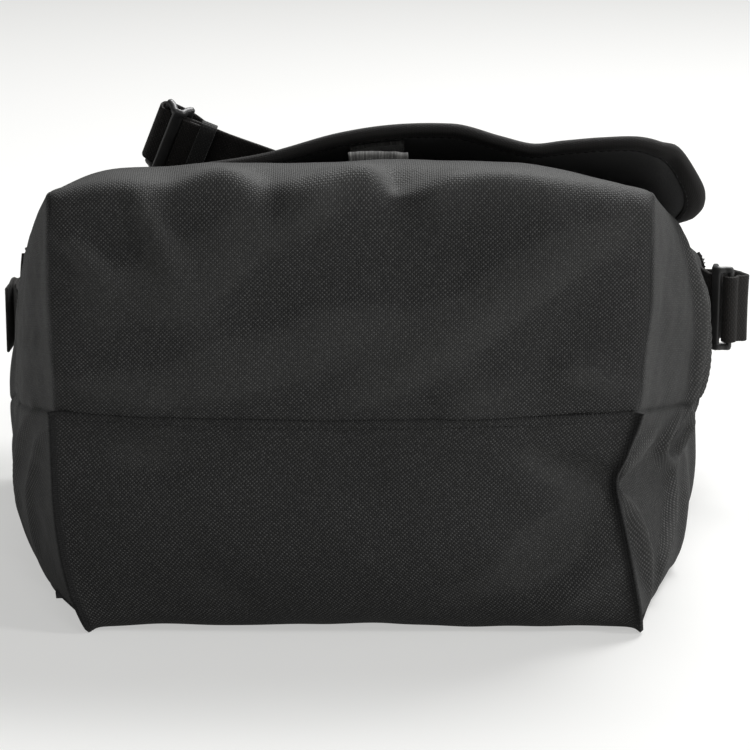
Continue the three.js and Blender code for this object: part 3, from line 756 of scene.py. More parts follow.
def stitches(name: str, path: Line, out: Array, body: str, sewing: Sewing) -> None:
    """Sews a row of stitches along a line on a surface.

    Args:
        name: The row's name.
        path: The line.
        out: The surface's outward direction at each of the line's points.
        body: The body that carries it.
        sewing: The stitches' sizes.
    """
    data = MeshData()
    steps = np.linspace(-1, 1, 5)
    turns = full_turn(6)[:, None]
    radius = (sewing.thick * np.sqrt(np.maximum(1 - steps**2, 0.04)))[:, None, None]
    for i in range(int(path.length / (sewing.long + sewing.gap))):
        distance = (i + 0.5) * (sewing.long + sewing.gap)
        run = path.tangent(distance / path.length)
        up = np.array([np.interp(distance, path.along, out[:, k]) for k in range(3)])
        up = unit(up - run * float(up @ run))
        side = np.cross(run, up)
        ring = path.at(distance / path.length) + run * (steps * sewing.long / 2)[:, None, None]
        data.rod(ring + up * radius * 0.3 + (side * np.cos(turns) + up * np.sin(turns))[None] * radius)
    mount(data.make(name, Finish.THREAD), body)


def swept_section(path: Line, width_way: Array, section: Array, shares: Array) -> Array:
    """Carries a flat section along a path.

    Args:
        path: The path.
        width_way: The width direction at each share.
        section: Points of the section, as width and height.
        shares: Where along the path each ring lies.

    Returns:
        Rings by section points of points.
    """
    middle = path.at(shares)
    run = path.tangent(shares)
    wide = unit(width_way - run * np.sum(width_way * run, -1, keepdims=True))
    high = np.cross(run, wide)
    return middle[:, None] + wide[:, None] * section[None, :, :1] + high[:, None] * section[None, :, 1:]


def rounded_strip(width: float, thick: float, crown: float = 0.0) -> Array:
    """The closed section of a woven strip with soft edges.

    Args:
        width: Across it.
        thick: Through it.
        crown: How far its middle stands up.

    Returns:
        Section points, anticlockwise.
    """
    half, high = (width - thick) / 2, thick / 2
    across = np.linspace(-1, 1, 13)
    edge = np.array([0.72, 0.0, -0.72])
    bulge = np.sqrt(1 - edge**2) * thick * 0.45
    rise = crown * (1 - across**2)
    under = np.column_stack([across * half, rise - high])
    over = np.column_stack([-across * half, rise[::-1] + high])
    right = np.column_stack([half + bulge, -edge * high])
    left = np.column_stack([-half - bulge, edge * high])
    return np.concatenate([under, right, over, left])


# ---------------------------------------------------------------- the body's shape
@dataclass(frozen=True)
class BodyShape:
    """The bag's outer surface: where its seams run and how its cloth swells between them."""

    base_y: float = -150.0
    mouth_y: float = 150.0
    base_half: float = 149.0
    mouth_half: float = 196.0
    base_height: float = 232.0
    mouth_height: float = 138.0
    seam_height: float = 118.0
    crown: float = 16.0
    mouth_crown: float = 18.0
    bulge: float = 14.0
    back_rise: float = 72.0
    back_round: float = 46.0
    flare: float = 10.0

    RIGHT_EDGE = [
        (0, 148), (12, 147), (30, 143.5), (52, 139), (66, 136), (80, 134),
        (98, 138.5), (118, 145), (150, 148), (176, 150.5), (230, 149.5),
    ]
    LEFT_EDGE = [
        (0, 131), (10, 136), (25, 141.5), (52, 146.5), (90, 148.5),
        (118, 149), (150, 149.5), (176, 150.5), (230, 149),
    ]
    CREST = [
        (-1, 0), (-0.83, 0.62), (-0.57, 0.86), (-0.27, 0.93), (0, 0.97),
        (0.4, 1.0), (0.62, 0.8), (0.84, 0.43), (1, 0),
    ]

    @property
    def slope(self) -> float:
        """How fast the front falls from the base to the mouth."""
        return (self.base_height - self.mouth_height) / (self.mouth_y - self.base_y)

    def half_width(self, side: int, y: Array, z: Array, upper: bool) -> Array:
        """Half the body's width at its seams.

        Args:
            side: 1 on the right, -1 on the left.
            y: Along the body.
            z: Above the floor.
            upper: Whether the seam is one of the front's.

        Returns:
            The distance from the middle line.
        """
        share = np.clip((y - self.base_y) / (self.mouth_y - self.base_y), 0, 1)
        edge = eased(self.RIGHT_EDGE if side > 0 else self.LEFT_EDGE, z)
        fade = 1 - smoothstep(share * 300 / 90)
        width = self.base_half + (self.mouth_half - self.base_half) * share + (edge - self.base_half) * fade
        if side < 0:
            return width
        if upper:
            return width + self.flare * smoothstep((y - 30) / 120)
        return width + 7.0 * np.sin(np.pi * share) ** 2

    def outline(self, upper: bool) -> Line:
        """The side seam in Y and Z, from the base's middle seam round to the mouth."""
        if upper:
            top, turn = self.base_height, 18
            far = (self.base_y + turn, top - turn * self.slope)
            corner = bezier((self.base_y, top - turn), (self.base_y, top), far)
            return Line([(self.base_y, self.seam_height)], corner, [(self.mouth_y, self.mouth_height)])
        corner = bezier((self.base_y, 16), (self.base_y, 0.2), (self.base_y + 16, 0.2))
        return Line([(self.base_y, self.seam_height)], corner, self._back_lip())

    def middle(self, upper: bool) -> Line:
        """The middle line in Y and Z, from the base's middle seam round to the mouth."""
        out = self.base_y - self.bulge
        if upper:
            wall = bezier((out, 200), (out, 226), (out + 1.5, 235.5), (out + 9, 238), count=20)
            crest = ((out + 9, 238), (out + 24, 241.5), (-130, 243.5), (-116, 241), (-90, 231.5))
            mouth = (self.mouth_y, self.mouth_height + self.mouth_crown)
            return Line([(out, self.seam_height - 1)], wall, bezier(*crest, count=30), [mouth])
        heel = bezier((out, 62), (out, 24), (self.base_y - 6, 0.2), (self.base_y + 22, 0.2))
        return Line([(out, self.seam_height - 1)], heel, self._back_lip())

    def _back_lip(self) -> Array:
        """The back's rise from the floor to the mouth, in Y and Z."""
        turn = np.linspace(0, math.pi / 2, 24)
        along = self.mouth_y - self.back_round + self.back_round * np.sin(turn)
        return np.column_stack([along, self.back_rise * (1 - np.cos(turn)) + 0.2])

    def seam(self, side: int, upper: bool, share: Array) -> Array:
        """Points of a side seam.

        Args:
            side: 1 on the right, -1 on the left.
            upper: The front's seam, or the back's.
            share: How far along it, from the base's middle seam to the mouth.

        Returns:
            The points.
        """
        flat = self.outline(upper).at(share)
        y, z = flat[..., 0], flat[..., 1]
        pinch = 5.0 * np.exp(-(((z - 80) / 16) ** 2)) * (y < self.base_y + 8) if side > 0 else 0.0
        return np.stack([side * self.half_width(side, y, z, upper), y + pinch, z], -1)

    def panel(self, upper: bool, columns: int, shares: Array) -> tuple[Array, Array, Array]:
        """The front or the back, with no folds yet.

        Args:
            upper: The front, or the back.
            columns: How many points across.
            shares: The rows, as shares of the way from the base's middle seam to the mouth.

        Returns:
            The points, and each point's place from -1 to 1 across and in millimetres along.
        """
        u = np.linspace(-1, 1, columns)
        u = np.sign(u) * (1 - (1 - np.abs(u)) ** 1.25)
        left, right = self.seam(-1, upper, shares), self.seam(1, upper, shares)
        crest = self.middle(upper).at(shares)
        t = u[None, :, None]
        flat = left[:, None] * (1 - t) / 2 + right[:, None] * (1 + t) / 2
        base_like = 1 - np.abs(u) ** 2.5
        crest_like = eased(self.CREST, u)
        along = shares * self.middle(upper).length
        mix = smoothstep((along - 80) / 50)[:, None] if upper else np.zeros((len(shares), 1))
        full = base_like[None] * (1 - mix) + crest_like[None] * mix
        rise = crest[:, None] - (left[:, None, 1:] + right[:, None, 1:]) / 2
        flat[..., 1:] += rise * full[..., None]
        return flat, np.broadcast_to(u[None], full.shape), np.broadcast_to(along[:, None], full.shape)

    def gusset_edge(self, side: int, share: Array) -> Array:
        """The edge that a gusset shares with the base, from the floor corner up to the top corner."""
        lower = self.outline(False).length
        upper = self.outline(True).length
        down, up = 118.0 / lower, 114.0 / upper
        below = self.seam(side, False, np.clip((0.5 - share) * 2, 0, 1) * down)
        above = self.seam(side, True, np.clip((share - 0.5) * 2, 0, 1) * up)
        return np.where((share < 0.5)[..., None], below, above)

    def gusset(self, side: int, columns: int, rows: int) -> tuple[Array, Array, Array]:
        """A gusset, with its swell but no folds yet.

        Args:
            side: 1 on the right, -1 on the left.
            columns: Points from the base to the mouth.
            rows: Points from the floor up.

        Returns:
            The points, and each point's share from the base and from the floor.
        """
        r = np.linspace(0, 1, columns) ** 1.15
        q = np.linspace(0, 1, rows)
        down = 118.0 / self.outline(False).length
        up = 114.0 / self.outline(True).length
        bottom = self.seam(side, False, down + r * (1 - down))
        top = self.seam(side, True, up + r * (1 - up))
        base = self.gusset_edge(side, q)
        mouth = bottom[-1] + (top[-1] - bottom[-1]) * q[:, None]
        rr, qq = np.meshgrid(r, q)
        a, b = rr[..., None], qq[..., None]
        corners = (1 - a) * (1 - b) * bottom[0] + a * (1 - b) * bottom[-1]
        corners = corners + (1 - a) * b * top[0] + a * b * top[-1]
        points = (1 - a) * base[:, None] + a * mouth[:, None]
        points = points + (1 - b) * bottom[None] + b * top[None] - corners
        points[..., 0] += side * self.swell(side, rr, qq, points[..., 1], points[..., 2])
        return points, rr, qq

    @staticmethod
    def swell(side: int, r: Array, q: Array, y: Array, z: Array) -> Array:
        """How far a gusset stands out of its seams.

        Args:
            side: 1 on the right, -1 on the left.
            r: Share of the way from the base.
            q: Share of the way up.
            y: Along the body.
            z: Above the floor.

        Returns:
            The distance outwards, less where the strap's end holds the cloth in.
        """
        full = np.sin(np.pi * np.clip(q, 0, 1)) ** (0.5 if side > 0 else 0.75) * smoothstep(r * 3.2)
        if side < 0:
            return 8.0 * full * (1 - 0.7 * smoothstep((r - 0.55) / 0.4))
        held = np.exp(-(((z - 98) / 15) ** 2) - ((y - 108) / 40) ** 2)
        return 18.5 * full * (1 - 0.35 * smoothstep((r - 0.7) / 0.3)) - 5.0 * held


SHAPE = BodyShape()


def rows_between(*knots: tuple[float, int]) -> Array:
    """Grid stations: each knot is where a stretch ends and how many steps it has.

    Args:
        knots: Pairs of end and steps; the first pair is the start.

    Returns:
        All the stations.
    """
    values = [np.array([knots[0][0]])]
    for (start, _), (end, steps) in zip(knots, knots[1:]):
        values.append(np.linspace(start, end, steps + 1)[1:])
    return np.concatenate(values)


def groove(distance: Array, depth: float, width: float) -> Array:
    """The dip of cloth towards a seam at a distance from it."""
    return -depth * np.exp(-np.abs(distance) / width)


# ---------------------------------------------------------------- sub-assemblies
@dataclass
class Shell:
    """The outer cloth: front and back with the two halves of the base, and the two gussets."""

    cloth: float = 2.0
    seam_depth: float = 3.8
    columns: int = 280
    fold_gain: float = 1.8
    corner_along: float = 124.0
    CORNER = [
        (-150, 0), (-90, 0), (-62, 4), (-38, -1.5), (-19, -0.5), (8, 4.5),
        (23, -5), (38, -2), (52, 1), (77, 3), (100, 2), (150, 0),
    ]
    front_folds: tuple[Fold, ...] = (
        Fold(((-139, 50), (-90, 66), (-41, 96), (7, 126)), 2.4, 20),
        Fold(((-120, 8), (-60, 26), (-10, 44), (30, 60)), 2.6, 17),
        Fold(((-142, 96), (-128, 82), (-118, 70)), 2.4, 6),
        Fold(((-104, 114), (-94, 94), (-84, 74)), 2.2, 7),
        Fold(((-8, 4), (64, 55), (112, 88), (140, 104)), 3.4, 15),
        Fold(((-30, 70), (40, 88), (95, 118)), -1.6, 16),
        Fold(((-44, 128), (-40, 116), (-34, 100)), -1.5, 9),
        Fold(((-12, 126), (-16, 114), (-24, 102)), 1.2, 8),
        Fold(((20, 128), (22, 114), (26, 100)), -1.5, 10),
        Fold(((52, 128), (44, 116), (36, 102)), 1.4, 9),
        Fold(((98, 30), (72, 12), (40, 4)), 1.6, 14),
        Fold(((120, 60), (100, 36), (84, 16)), -1.4, 12),
        Fold(((140, 8), (120, 20), (96, 26)), 1.6, 9),
        Fold(((-146, 20), (-128, 16), (-108, 20)), 1.2, 7),
        Fold(((-146, 78), (-126, 70), (-104, 74)), 1.0, 8),
    )
    back_folds: tuple[Fold, ...] = (
        Fold(((134, 38), (108, 30), (84, 18)), 2.6, 9),
        Fold(((134, 40), (112, 52), (90, 72)), 1.8, 12),
        Fold(((-140, 14), (-110, 22), (-70, 18)), 1.3, 13),
        Fold(((40, 100), (80, 84), (128, 66)), 1.8, 16),
        Fold(((-120, 96), (-80, 90), (-30, 100)), 1.4, 16),
        Fold(((100, 108), (118, 92), (138, 74)), -1.6, 9),
    )

    def build(self) -> None:
        """Makes all four panels and sews the row of stitches at the base's middle seam."""
        self._panel("front_cloth", True, self.front_folds, "front_panel")
        self._panel("back_cloth", False, self.back_folds, "back_panel")
        for side in (1, -1):
            self._gusset(side)
        self._base_seam()

    def _folded(self, points: Array, height: Array) -> Array:
        """Moves points along their normals by a height."""
        return points + surface_normals(points) * height[..., None]

    def _panel(self, name: str, upper: bool, folds: tuple[Fold, ...], node: str) -> None:
        """Makes the front or the back with its half of the base.

        Args:
            name: The piece's name.
            upper: The front, or the back.
            folds: Its folds, in millimetres across and along.
            node: The node it replaces.
        """
        shares = rows_between((0.0, 0), (0.01, 5), (0.42, 120), (0.6, 22), (1.0, 30))
        points, t, along = SHAPE.panel(upper, self.columns, shares)
        across = points[..., 0]
        edge = (1 - np.abs(t)) * SHAPE.base_half
        height = groove(edge, self.seam_depth, 2.4) + groove(along, 1.0, 1.0)
        for fold in folds:
            height = height + self.fold_gain * fold.height(across, along)
        free = smoothstep(edge / 40)
        height = height + 0.75 * free * ripple(across, along, 62, 3 if upper else 5)
        height = height + 0.3 * free * ripple(across, along, 24, 7 if upper else 9)
        pucker = np.exp(-edge / 7) * np.sin(along / 7.5 + np.sign(t) + 2 * np.sin(along / 23))
        height = height + 0.35 * pucker * smoothstep(edge / 3)
        if not upper:
            floor = smoothstep((along - 118) / 30)
            height = np.where(height > 0, height * (1 - floor), height)
        wave = ripple(across, along, 30, 12)
        folded = self._folded(points, height)
        if upper:
            folded[..., 2] += eased(self.CORNER, across) * np.exp(-(((along - self.corner_along) / 10) ** 2))
        folded[..., 2] = np.maximum(folded[..., 2], FLOOR_CLEARANCE)
        # ridge lightens fold tops, partly real rubbing and partly painted highlight, and random worn patches.
        ridge = 0.5 * smoothstep((height - 1.2) / 2) + 0.25 * smoothstep((wave - 0.8) / 0.6)
        if upper:
            # Painted highlight: the crest's up-facing roll is lightened as if lit from above.
            crest = np.exp(-(((along - 132) / 16) ** 2))
            ridge = ridge + 1.1 * crest
        data = MeshData()
        data.grid(folded, pattern_of(points), flip=not upper)
        # Painted seam shadow: darkens the cloth along its side seams and the base's middle seam.
        seam = np.exp(-((edge / 2.8) ** 2)) + 0.4 * np.exp(-along / 0.5)
        piece = data.make(name, Finish.NYLON, ridge, seam)
        thicken(piece, self.cloth)
        mount(piece, "bag", node)

    def _gusset(self, side: int) -> None:
        """Makes a gusset with its lower and upper halves.

        Args:
            side: 1 on the right, -1 on the left.
        """
        label = "right" if side > 0 else "left"
        points, r, q = SHAPE.gusset(side, 190, 190)
        y, z = points[..., 1], points[..., 2]
        rise = np.interp(r, (0, 0.5, 1), (0.5, 0.455, 0.14))
        seam_gap = (q - rise) * 190
        reach = np.minimum.reduce([r * 290, q * 210, (1 - q) * 180])
        height = groove(reach, self.seam_depth, 2.2) + groove(seam_gap, 1.3, 1.2)
        for fold in GUSSET_FOLDS[side]:
            height = height + (1.8 if side > 0 else 1.3) * fold.height(y, z)
        free = smoothstep(reach / 30)
        height = height + 0.8 * free * ripple(y, z, 48, 21 + side) + 0.3 * free * ripple(y, z, 20, 31 + side)
        normal = surface_normals(points) * (1 if side > 0 else -1)
        if float((normal[..., 0] * side).mean()) < 0:
            normal = -normal
        folded = points + normal * height[..., None]
        folded[..., 2] = np.maximum(folded[..., 2], FLOOR_CLEARANCE)
        # ridge lightens fold tops: partly real rubbing, partly painted highlight.
        ridge = 0.8 * smoothstep((height - 2.0) / 4.0)
        data = MeshData()
        data.grid(folded, pattern_of(points), flip=side < 0)
        # Painted seam shadow: darkens the cloth along its edges and the seam between its halves.
        seam = np.exp(-((reach / 2.6) ** 2)) + 0.8 * np.exp(-((seam_gap / 1.3) ** 2))
        piece = data.make(f"gusset_{label}_cloth", Finish.NYLON, ridge, seam)
        thicken(piece, self.cloth)
        mount(piece, "bag", f"gusset_{label}_lower", f"gusset_{label}_upper")

    def _base_seam(self) -> None:
        """Sews the row of stitches just below the base's middle seam."""
        points, _, _ = SHAPE.panel(False, 120, np.array([0.0, 0.0085, 0.02]))
        row = points[1, 4:-4]
        out = np.tile(np.array([0.0, -1.0, 0.0]), (len(row), 1))
        stitches("base_seam_stitches", Line(row + out * 0.3), out, "bag", Sewing(2.2, 1.0, 0.22))


GUSSET_FOLDS: dict[int, tuple[Fold, ...]] = {
    1: (
        Fold(((-66, 196), (-56, 150), (-60, 110), (-78, 84)), 4.2, 4.6, 1.6),
        Fold(((-38, 172), (-33, 146), (-40, 122)), 3.0, 3.8, 1.6),
        Fold(((-14, 176), (-2, 140), (-14, 96), (-30, 78)), 4.2, 5.4, 1.6),
        Fold(((22, 152), (27, 132), (21, 114)), 2.6, 4.0),
        Fold(((44, 156), (60, 124), (50, 88)), 3.4, 6, 1.6),
        Fold(((92, 140), (99, 124), (96, 114)), 1.6, 6),
        Fold(((-50, 176), (-45, 140), (-52, 106)), -3.4, 4.5),
        Fold(((-24, 164), (-18, 138), (-24, 112)), -2.6, 5.5),
        Fold(((8, 160), (14, 128), (6, 92)), -3.4, 5.2),
        Fold(((34, 150), (40, 130), (36, 112)), -2.2, 5),
        Fold(((-46, 92), (-36, 80), (-52, 66)), 3.2, 4, 1.6),
        Fold(((-76, 98), (-84, 84), (-66, 68), (-52, 66)), 3.2, 4, 1.6),
        Fold(((-60, 84), (-58, 78)), -3.0, 7),
        Fold(((-58, 66), (-70, 46), (-92, 24), (-100, 10)), 3.4, 4.5, 1.6),
        Fold(((-148, 80), (-128, 90), (-104, 96)), 3.4, 5, 1.6),
        Fold(((-147, 76), (-130, 60), (-120, 36), (-118, 10)), 3.8, 5.5, 1.6),
        Fold(((-144, 60), (-136, 40)), -2.2, 6),
        Fold(((-20, 62), (-40, 36), (-46, 8)), 2.6, 7),
        Fold(((60, 70), (40, 40), (30, 12)), 2.4, 9),
    ),
    -1: (
        Fold(((-146, 112), (-120, 96), (-96, 64), (-88, 24)), 2.6, 5, 1.6),
        Fold(((-110, 110), (-80, 84), (-60, 50), (-54, 12)), 3.0, 5.5, 1.6),
        Fold(((-60, 96), (-34, 60), (-24, 16)), 2.6, 7),
        Fold(((-140, 150), (-110, 140), (-80, 132)), 1.4, 8),
        Fold(((20, 130), (30, 90), (24, 40)), 2.0, 10),
        Fold(((80, 130), (70, 90), (76, 50)), 1.8, 10),
    ),
}


@dataclass
class Inside:
    """The lining, the padded back, the sleeve and its zipped pocket."""

    lining: float = 0.8
    foam: float = 4.0
    sleeve_from: float = -134.0
    sleeve_to: float = 118.0
    sleeve_height: float = 30.0
    sleeve_thick: float = 2.4
    pocket_half: float = 105.0
    pocket_from: float = -80.0
    pocket_to: float = 52.0
    tape_wide: float = 25.0

    def build(self) -> None:
        """Makes every piece inside the bag."""
        self._panel_lining("lining_front_cloth", True, 9.0, 0.985, "lining_front")
        self._panel_lining("lining_back_cloth", False, 7.4, 0.985, "lining_back")
        for side in (1, -1):
            self._side_lining(side)
        self._foam_pad()
        self._sleeve()
        self._pocket()

    def _panel_lining(self, name: str, upper: bool, depth: float, reach: float, node: str) -> None:
        """Lines the front or the back.

        Args:
            name: The piece's name.
            upper: The front, or the back.
            depth: How far it lies inside the outer face.
            reach: The share of the panel it covers.
            node: The node it replaces.
        """
        shares = rows_between((0.004, 0), (0.42, 50), (0.6, 12), (reach, 24))
        points, t, along = SHAPE.panel(upper, 90, shares)
        inward = surface_normals(points) * (1 if upper else -1)
        if float((inward[..., 2]).mean()) * (1 if upper else -1) < 0:
            inward = -inward
        slack = ripple(points[..., 0], along, 46, 41) * 0.9 * smoothstep((1 - np.abs(t)) * 4)
        points = points - inward * (depth + 1.0 + np.maximum(slack, -0.9))[..., None]
        limit = SHAPE.half_width(1, points[..., 1], points[..., 2], False) - 5
        points[..., 0] = np.clip(points[..., 0], -limit, limit)
        data = MeshData()
        data.grid(points, pattern_of(points), flip=not upper)
        piece = data.make(name, Finish.LINING)
        thicken(piece, self.lining)
        mount(piece, "bag", node)

    def _side_lining(self, side: int) -> None:
        """Lines a gusset, on the side given."""
        label = "right" if side > 0 else "left"
        points, r, q = SHAPE.gusset(side, 60, 60)
        keep = (slice(3, -3), slice(2, -2))
        points, r, q = points[keep], r[keep], q[keep]
        slack = 1.2 * ripple(points[..., 1], points[..., 2], 50, 51) * np.sin(np.pi * q)
        points[..., 0] -= side * (6.5 + slack)
        data = MeshData()
        data.grid(points, pattern_of(points), flip=side < 0)
        piece = data.make(f"lining_{label}_cloth", Finish.LINING)
        thicken(piece, self.lining)
        mount(piece, "bag", f"lining_{label}")

    def _sheet(
        self,
        name: str,
        x: tuple[float, float],
        y: tuple[float, float],
        top: float,
        thick: float,
        finish: Finish,
        sag: float,
        node: str,
    ) -> bpy.types.Object:
        """Makes a nearly flat sheet with soft rounded edges.

        Args:
            name: The piece's name.
            x: Its half width at its base end and at its mouth end.
            y: Where it starts and ends along the body.
            top: Its upper face above the floor.
            thick: Its thickness.
            finish: Its finish.
            sag: How far it ripples.
            node: The node it replaces.

        Returns:
            The piece.
        """
        u, v = np.meshgrid(np.linspace(-1, 1, 60), np.linspace(0, 1, 50))
        half = x[0] + (x[1] - x[0]) * v
        edge = np.minimum.reduce([(1 - np.abs(u)) * half, v * (y[1] - y[0]), (1 - v) * (y[1] - y[0])])
        round_off = np.minimum(thick * 0.35, 0.9) * (1 - smoothstep(edge / 4))
        wave = 1 + ripple(u * half, v * (y[1] - y[0]), 70, 61)
        high = top - round_off - sag * wave * smoothstep(edge / 30) / 2
        points = np.stack([u * half, y[0] + (y[1] - y[0]) * v, high], -1)
        data = MeshData()
        data.grid(points, pattern_of(points))
        piece = data.make(name, finish)
        thicken(piece, thick - 2 * min(thick * 0.15, 0.4))
        return mount(piece, "bag", node)

    def _foam_pad(self) -> None:
        """Makes the foam pad between the back and its lining."""
        low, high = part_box("foam_pad")
        start, end = LAYOUT.along(low[1]), LAYOUT.along(high[1])
        half = ((high[0] - low[0]) / 2 / MM - 16, (high[0] - low[0]) / 2 / MM - 1)
        top, span = 2.4 + self.foam, (start + 1, end - 1)
        pad = self._sheet("foam_pad_soft", half, span, top, self.foam, Finish.FOAM, 0.2, "foam_pad")

    def _sleeve(self) -> None:
        """Makes the wall of the sleeve, with a taped upper edge."""
        top = self.sleeve_height + self.sleeve_thick
        ends, high = (-70.0, self.sleeve_to), np.array(90.0)
        half = tuple(float(SHAPE.half_width(-1, np.array(y), high, False)) - 17 for y in ends)
        x, y = (half[0] - 9, half[1]), (self.sleeve_from, self.sleeve_to)
        self._sheet("sleeve_cloth", x, y, top, self.sleeve_thick, Finish.LINING, 0.5, "sleeve_wall")
        path = Line([(-half[1] + 2, self.sleeve_to, top - 1.2), (half[1] - 2, self.sleeve_to, top - 1.2)])
        shares = np.linspace(0, 1, 60)
        wide = np.tile([0.0, 1.0, 0.0], (60, 1))
        ring = swept_section(path, wide, rounded_strip(9, 3.6), shares)
        data = MeshData()
        data.grid(ring, pattern_of(ring), around=True, flip=True)
        mount(data.make("sleeve_edge_tape", Finish.TAPE), "bag")

    def _pocket(self) -> None:
        """Makes the pocket's cloth, the zip's tape and teeth, and dresses its slider and pull."""
        low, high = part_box("pocket_panel")
        top = high[2] / MM
        x, y = (self.pocket_half, self.pocket_half), (self.pocket_from, self.pocket_to)
        self._sheet("pocket_cloth", x, y, top, 1.2, Finish.LINING, 0.3, "pocket_panel")
        tape_low, tape_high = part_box("zip_tape")
        middle = LAYOUT.along((tape_low[1] + tape_high[1]) / 2)
        start, end = -self.pocket_half, self.pocket_half
        y = (middle - self.tape_wide / 2, middle + self.tape_wide / 2)
        self._sheet("zip_tape_cloth", x, y, top - 0.1, 1.0, Finish.TAPE, 0.05, "zip_tape")
        data = MeshData()
        turns = full_turn(8)
        round_tooth = 0.42 * np.stack([np.cos(turns), 0 * turns, 1.6 * np.sin(turns)], -1)[None]
        count = int((end - start - 12) / 1.6)
        for i in range(count):
            for lean in (-1, 1):
                across = start + 6 + 1.6 * (i + (0.25 if lean > 0 else -0.25))
                root, tip = middle - 0.5 * lean, middle + 2.2 * lean
                ends = np.array([(across, root, top + 0.75), (across, tip, top + 0.75)])
                data.rod(ends[:, None] + round_tooth)
        mount(data.make("zip_teeth", Finish.PLASTIC), "bag")
        for node in ("zip_slider", "zip_pull"):
            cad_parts[node].data.materials.clear()
            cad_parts[node].data.materials.append(WARDROBE.material(Finish.PLASTIC))


@dataclass
class Mouth:
    """The tape round the mouth and the overcast raw edge on the right."""

    wide: float = 5.0
    thick: float = 3.0

    def build(self) -> None:
        """Makes the tape along the front and both sides, and the overcast threads."""
        points, _, _ = SHAPE.panel(True, 140, np.array([0.99, 1.0]))
        front = points[1, 1:-1] + np.array([0, 1.6, -1.0])
        self._tape("mouth_tape_front_cloth", front, np.array([0, 0, 1.0]), "mouth_tape_front")
        for side, label in ((1, "right"), (-1, "left")):
            grid, _, _ = SHAPE.gusset(side, 40, 120)
            row = grid[4:-4, -1] + np.array([-side * 1.0, 1.6, 0])
            self._tape(f"mouth_tape_{label}_cloth", row, np.array([float(side), 0, 0]), f"mouth_tape_{label}")
        self._overcast()

    def _tape(self, name: str, row: Array, across: Array, node: str) -> None:
        """Binds an edge of the mouth.

        Args:
            name: The piece's name.
            row: The edge's points.
            across: The direction that the tape's thickness lies in.
            node: The node it replaces.
        """
        path = Line(row)
        shares = np.linspace(0, 1, 120)
        ring = swept_section(path, np.tile(across, (120, 1)), rounded_strip(self.wide, self.thick), shares)
        data = MeshData()
        data.grid(ring, pattern_of(ring), around=True, flip=True)
        mount(data.make(name, Finish.TAPE), "bag", node)

    def _overcast(self) -> None:
        """Winds thread over the right side's edge of the mouth."""
        grid, _, _ = SHAPE.gusset(1, 40, 160)
        path = Line(grid[30:-6, -1])
        data = MeshData()
        turns = full_turn(5)[None, :, None]
        arc = np.linspace(-0.2, math.pi + 0.2, 9)
        count = int(path.length / 2.1)
        for i in range(count):
            centre = path.at((i + 0.5) / count) + np.array([0.4, 0.2, 0])
            size = 1.9 + 0.4 * math.sin(i * 2.1)
            spine = np.column_stack([size * 0.75 * np.sin(arc), 1.8 * np.cos(arc), 0.5 * np.cos(2 * arc + i)])
            run = unit(np.gradient(spine, axis=0))
            side = unit(np.cross(run, np.array([0, 0, 1.0])))
            up = np.cross(run, side)
            around = side[:, None] * np.cos(turns) + up[:, None] * np.sin(turns)
            data.grid((centre + spine)[:, None] + 0.3 * around, np.zeros((9, 5, 2)), around=True)
        mount(data.make("mouth_overcast_threads", Finish.THREAD), "bag")


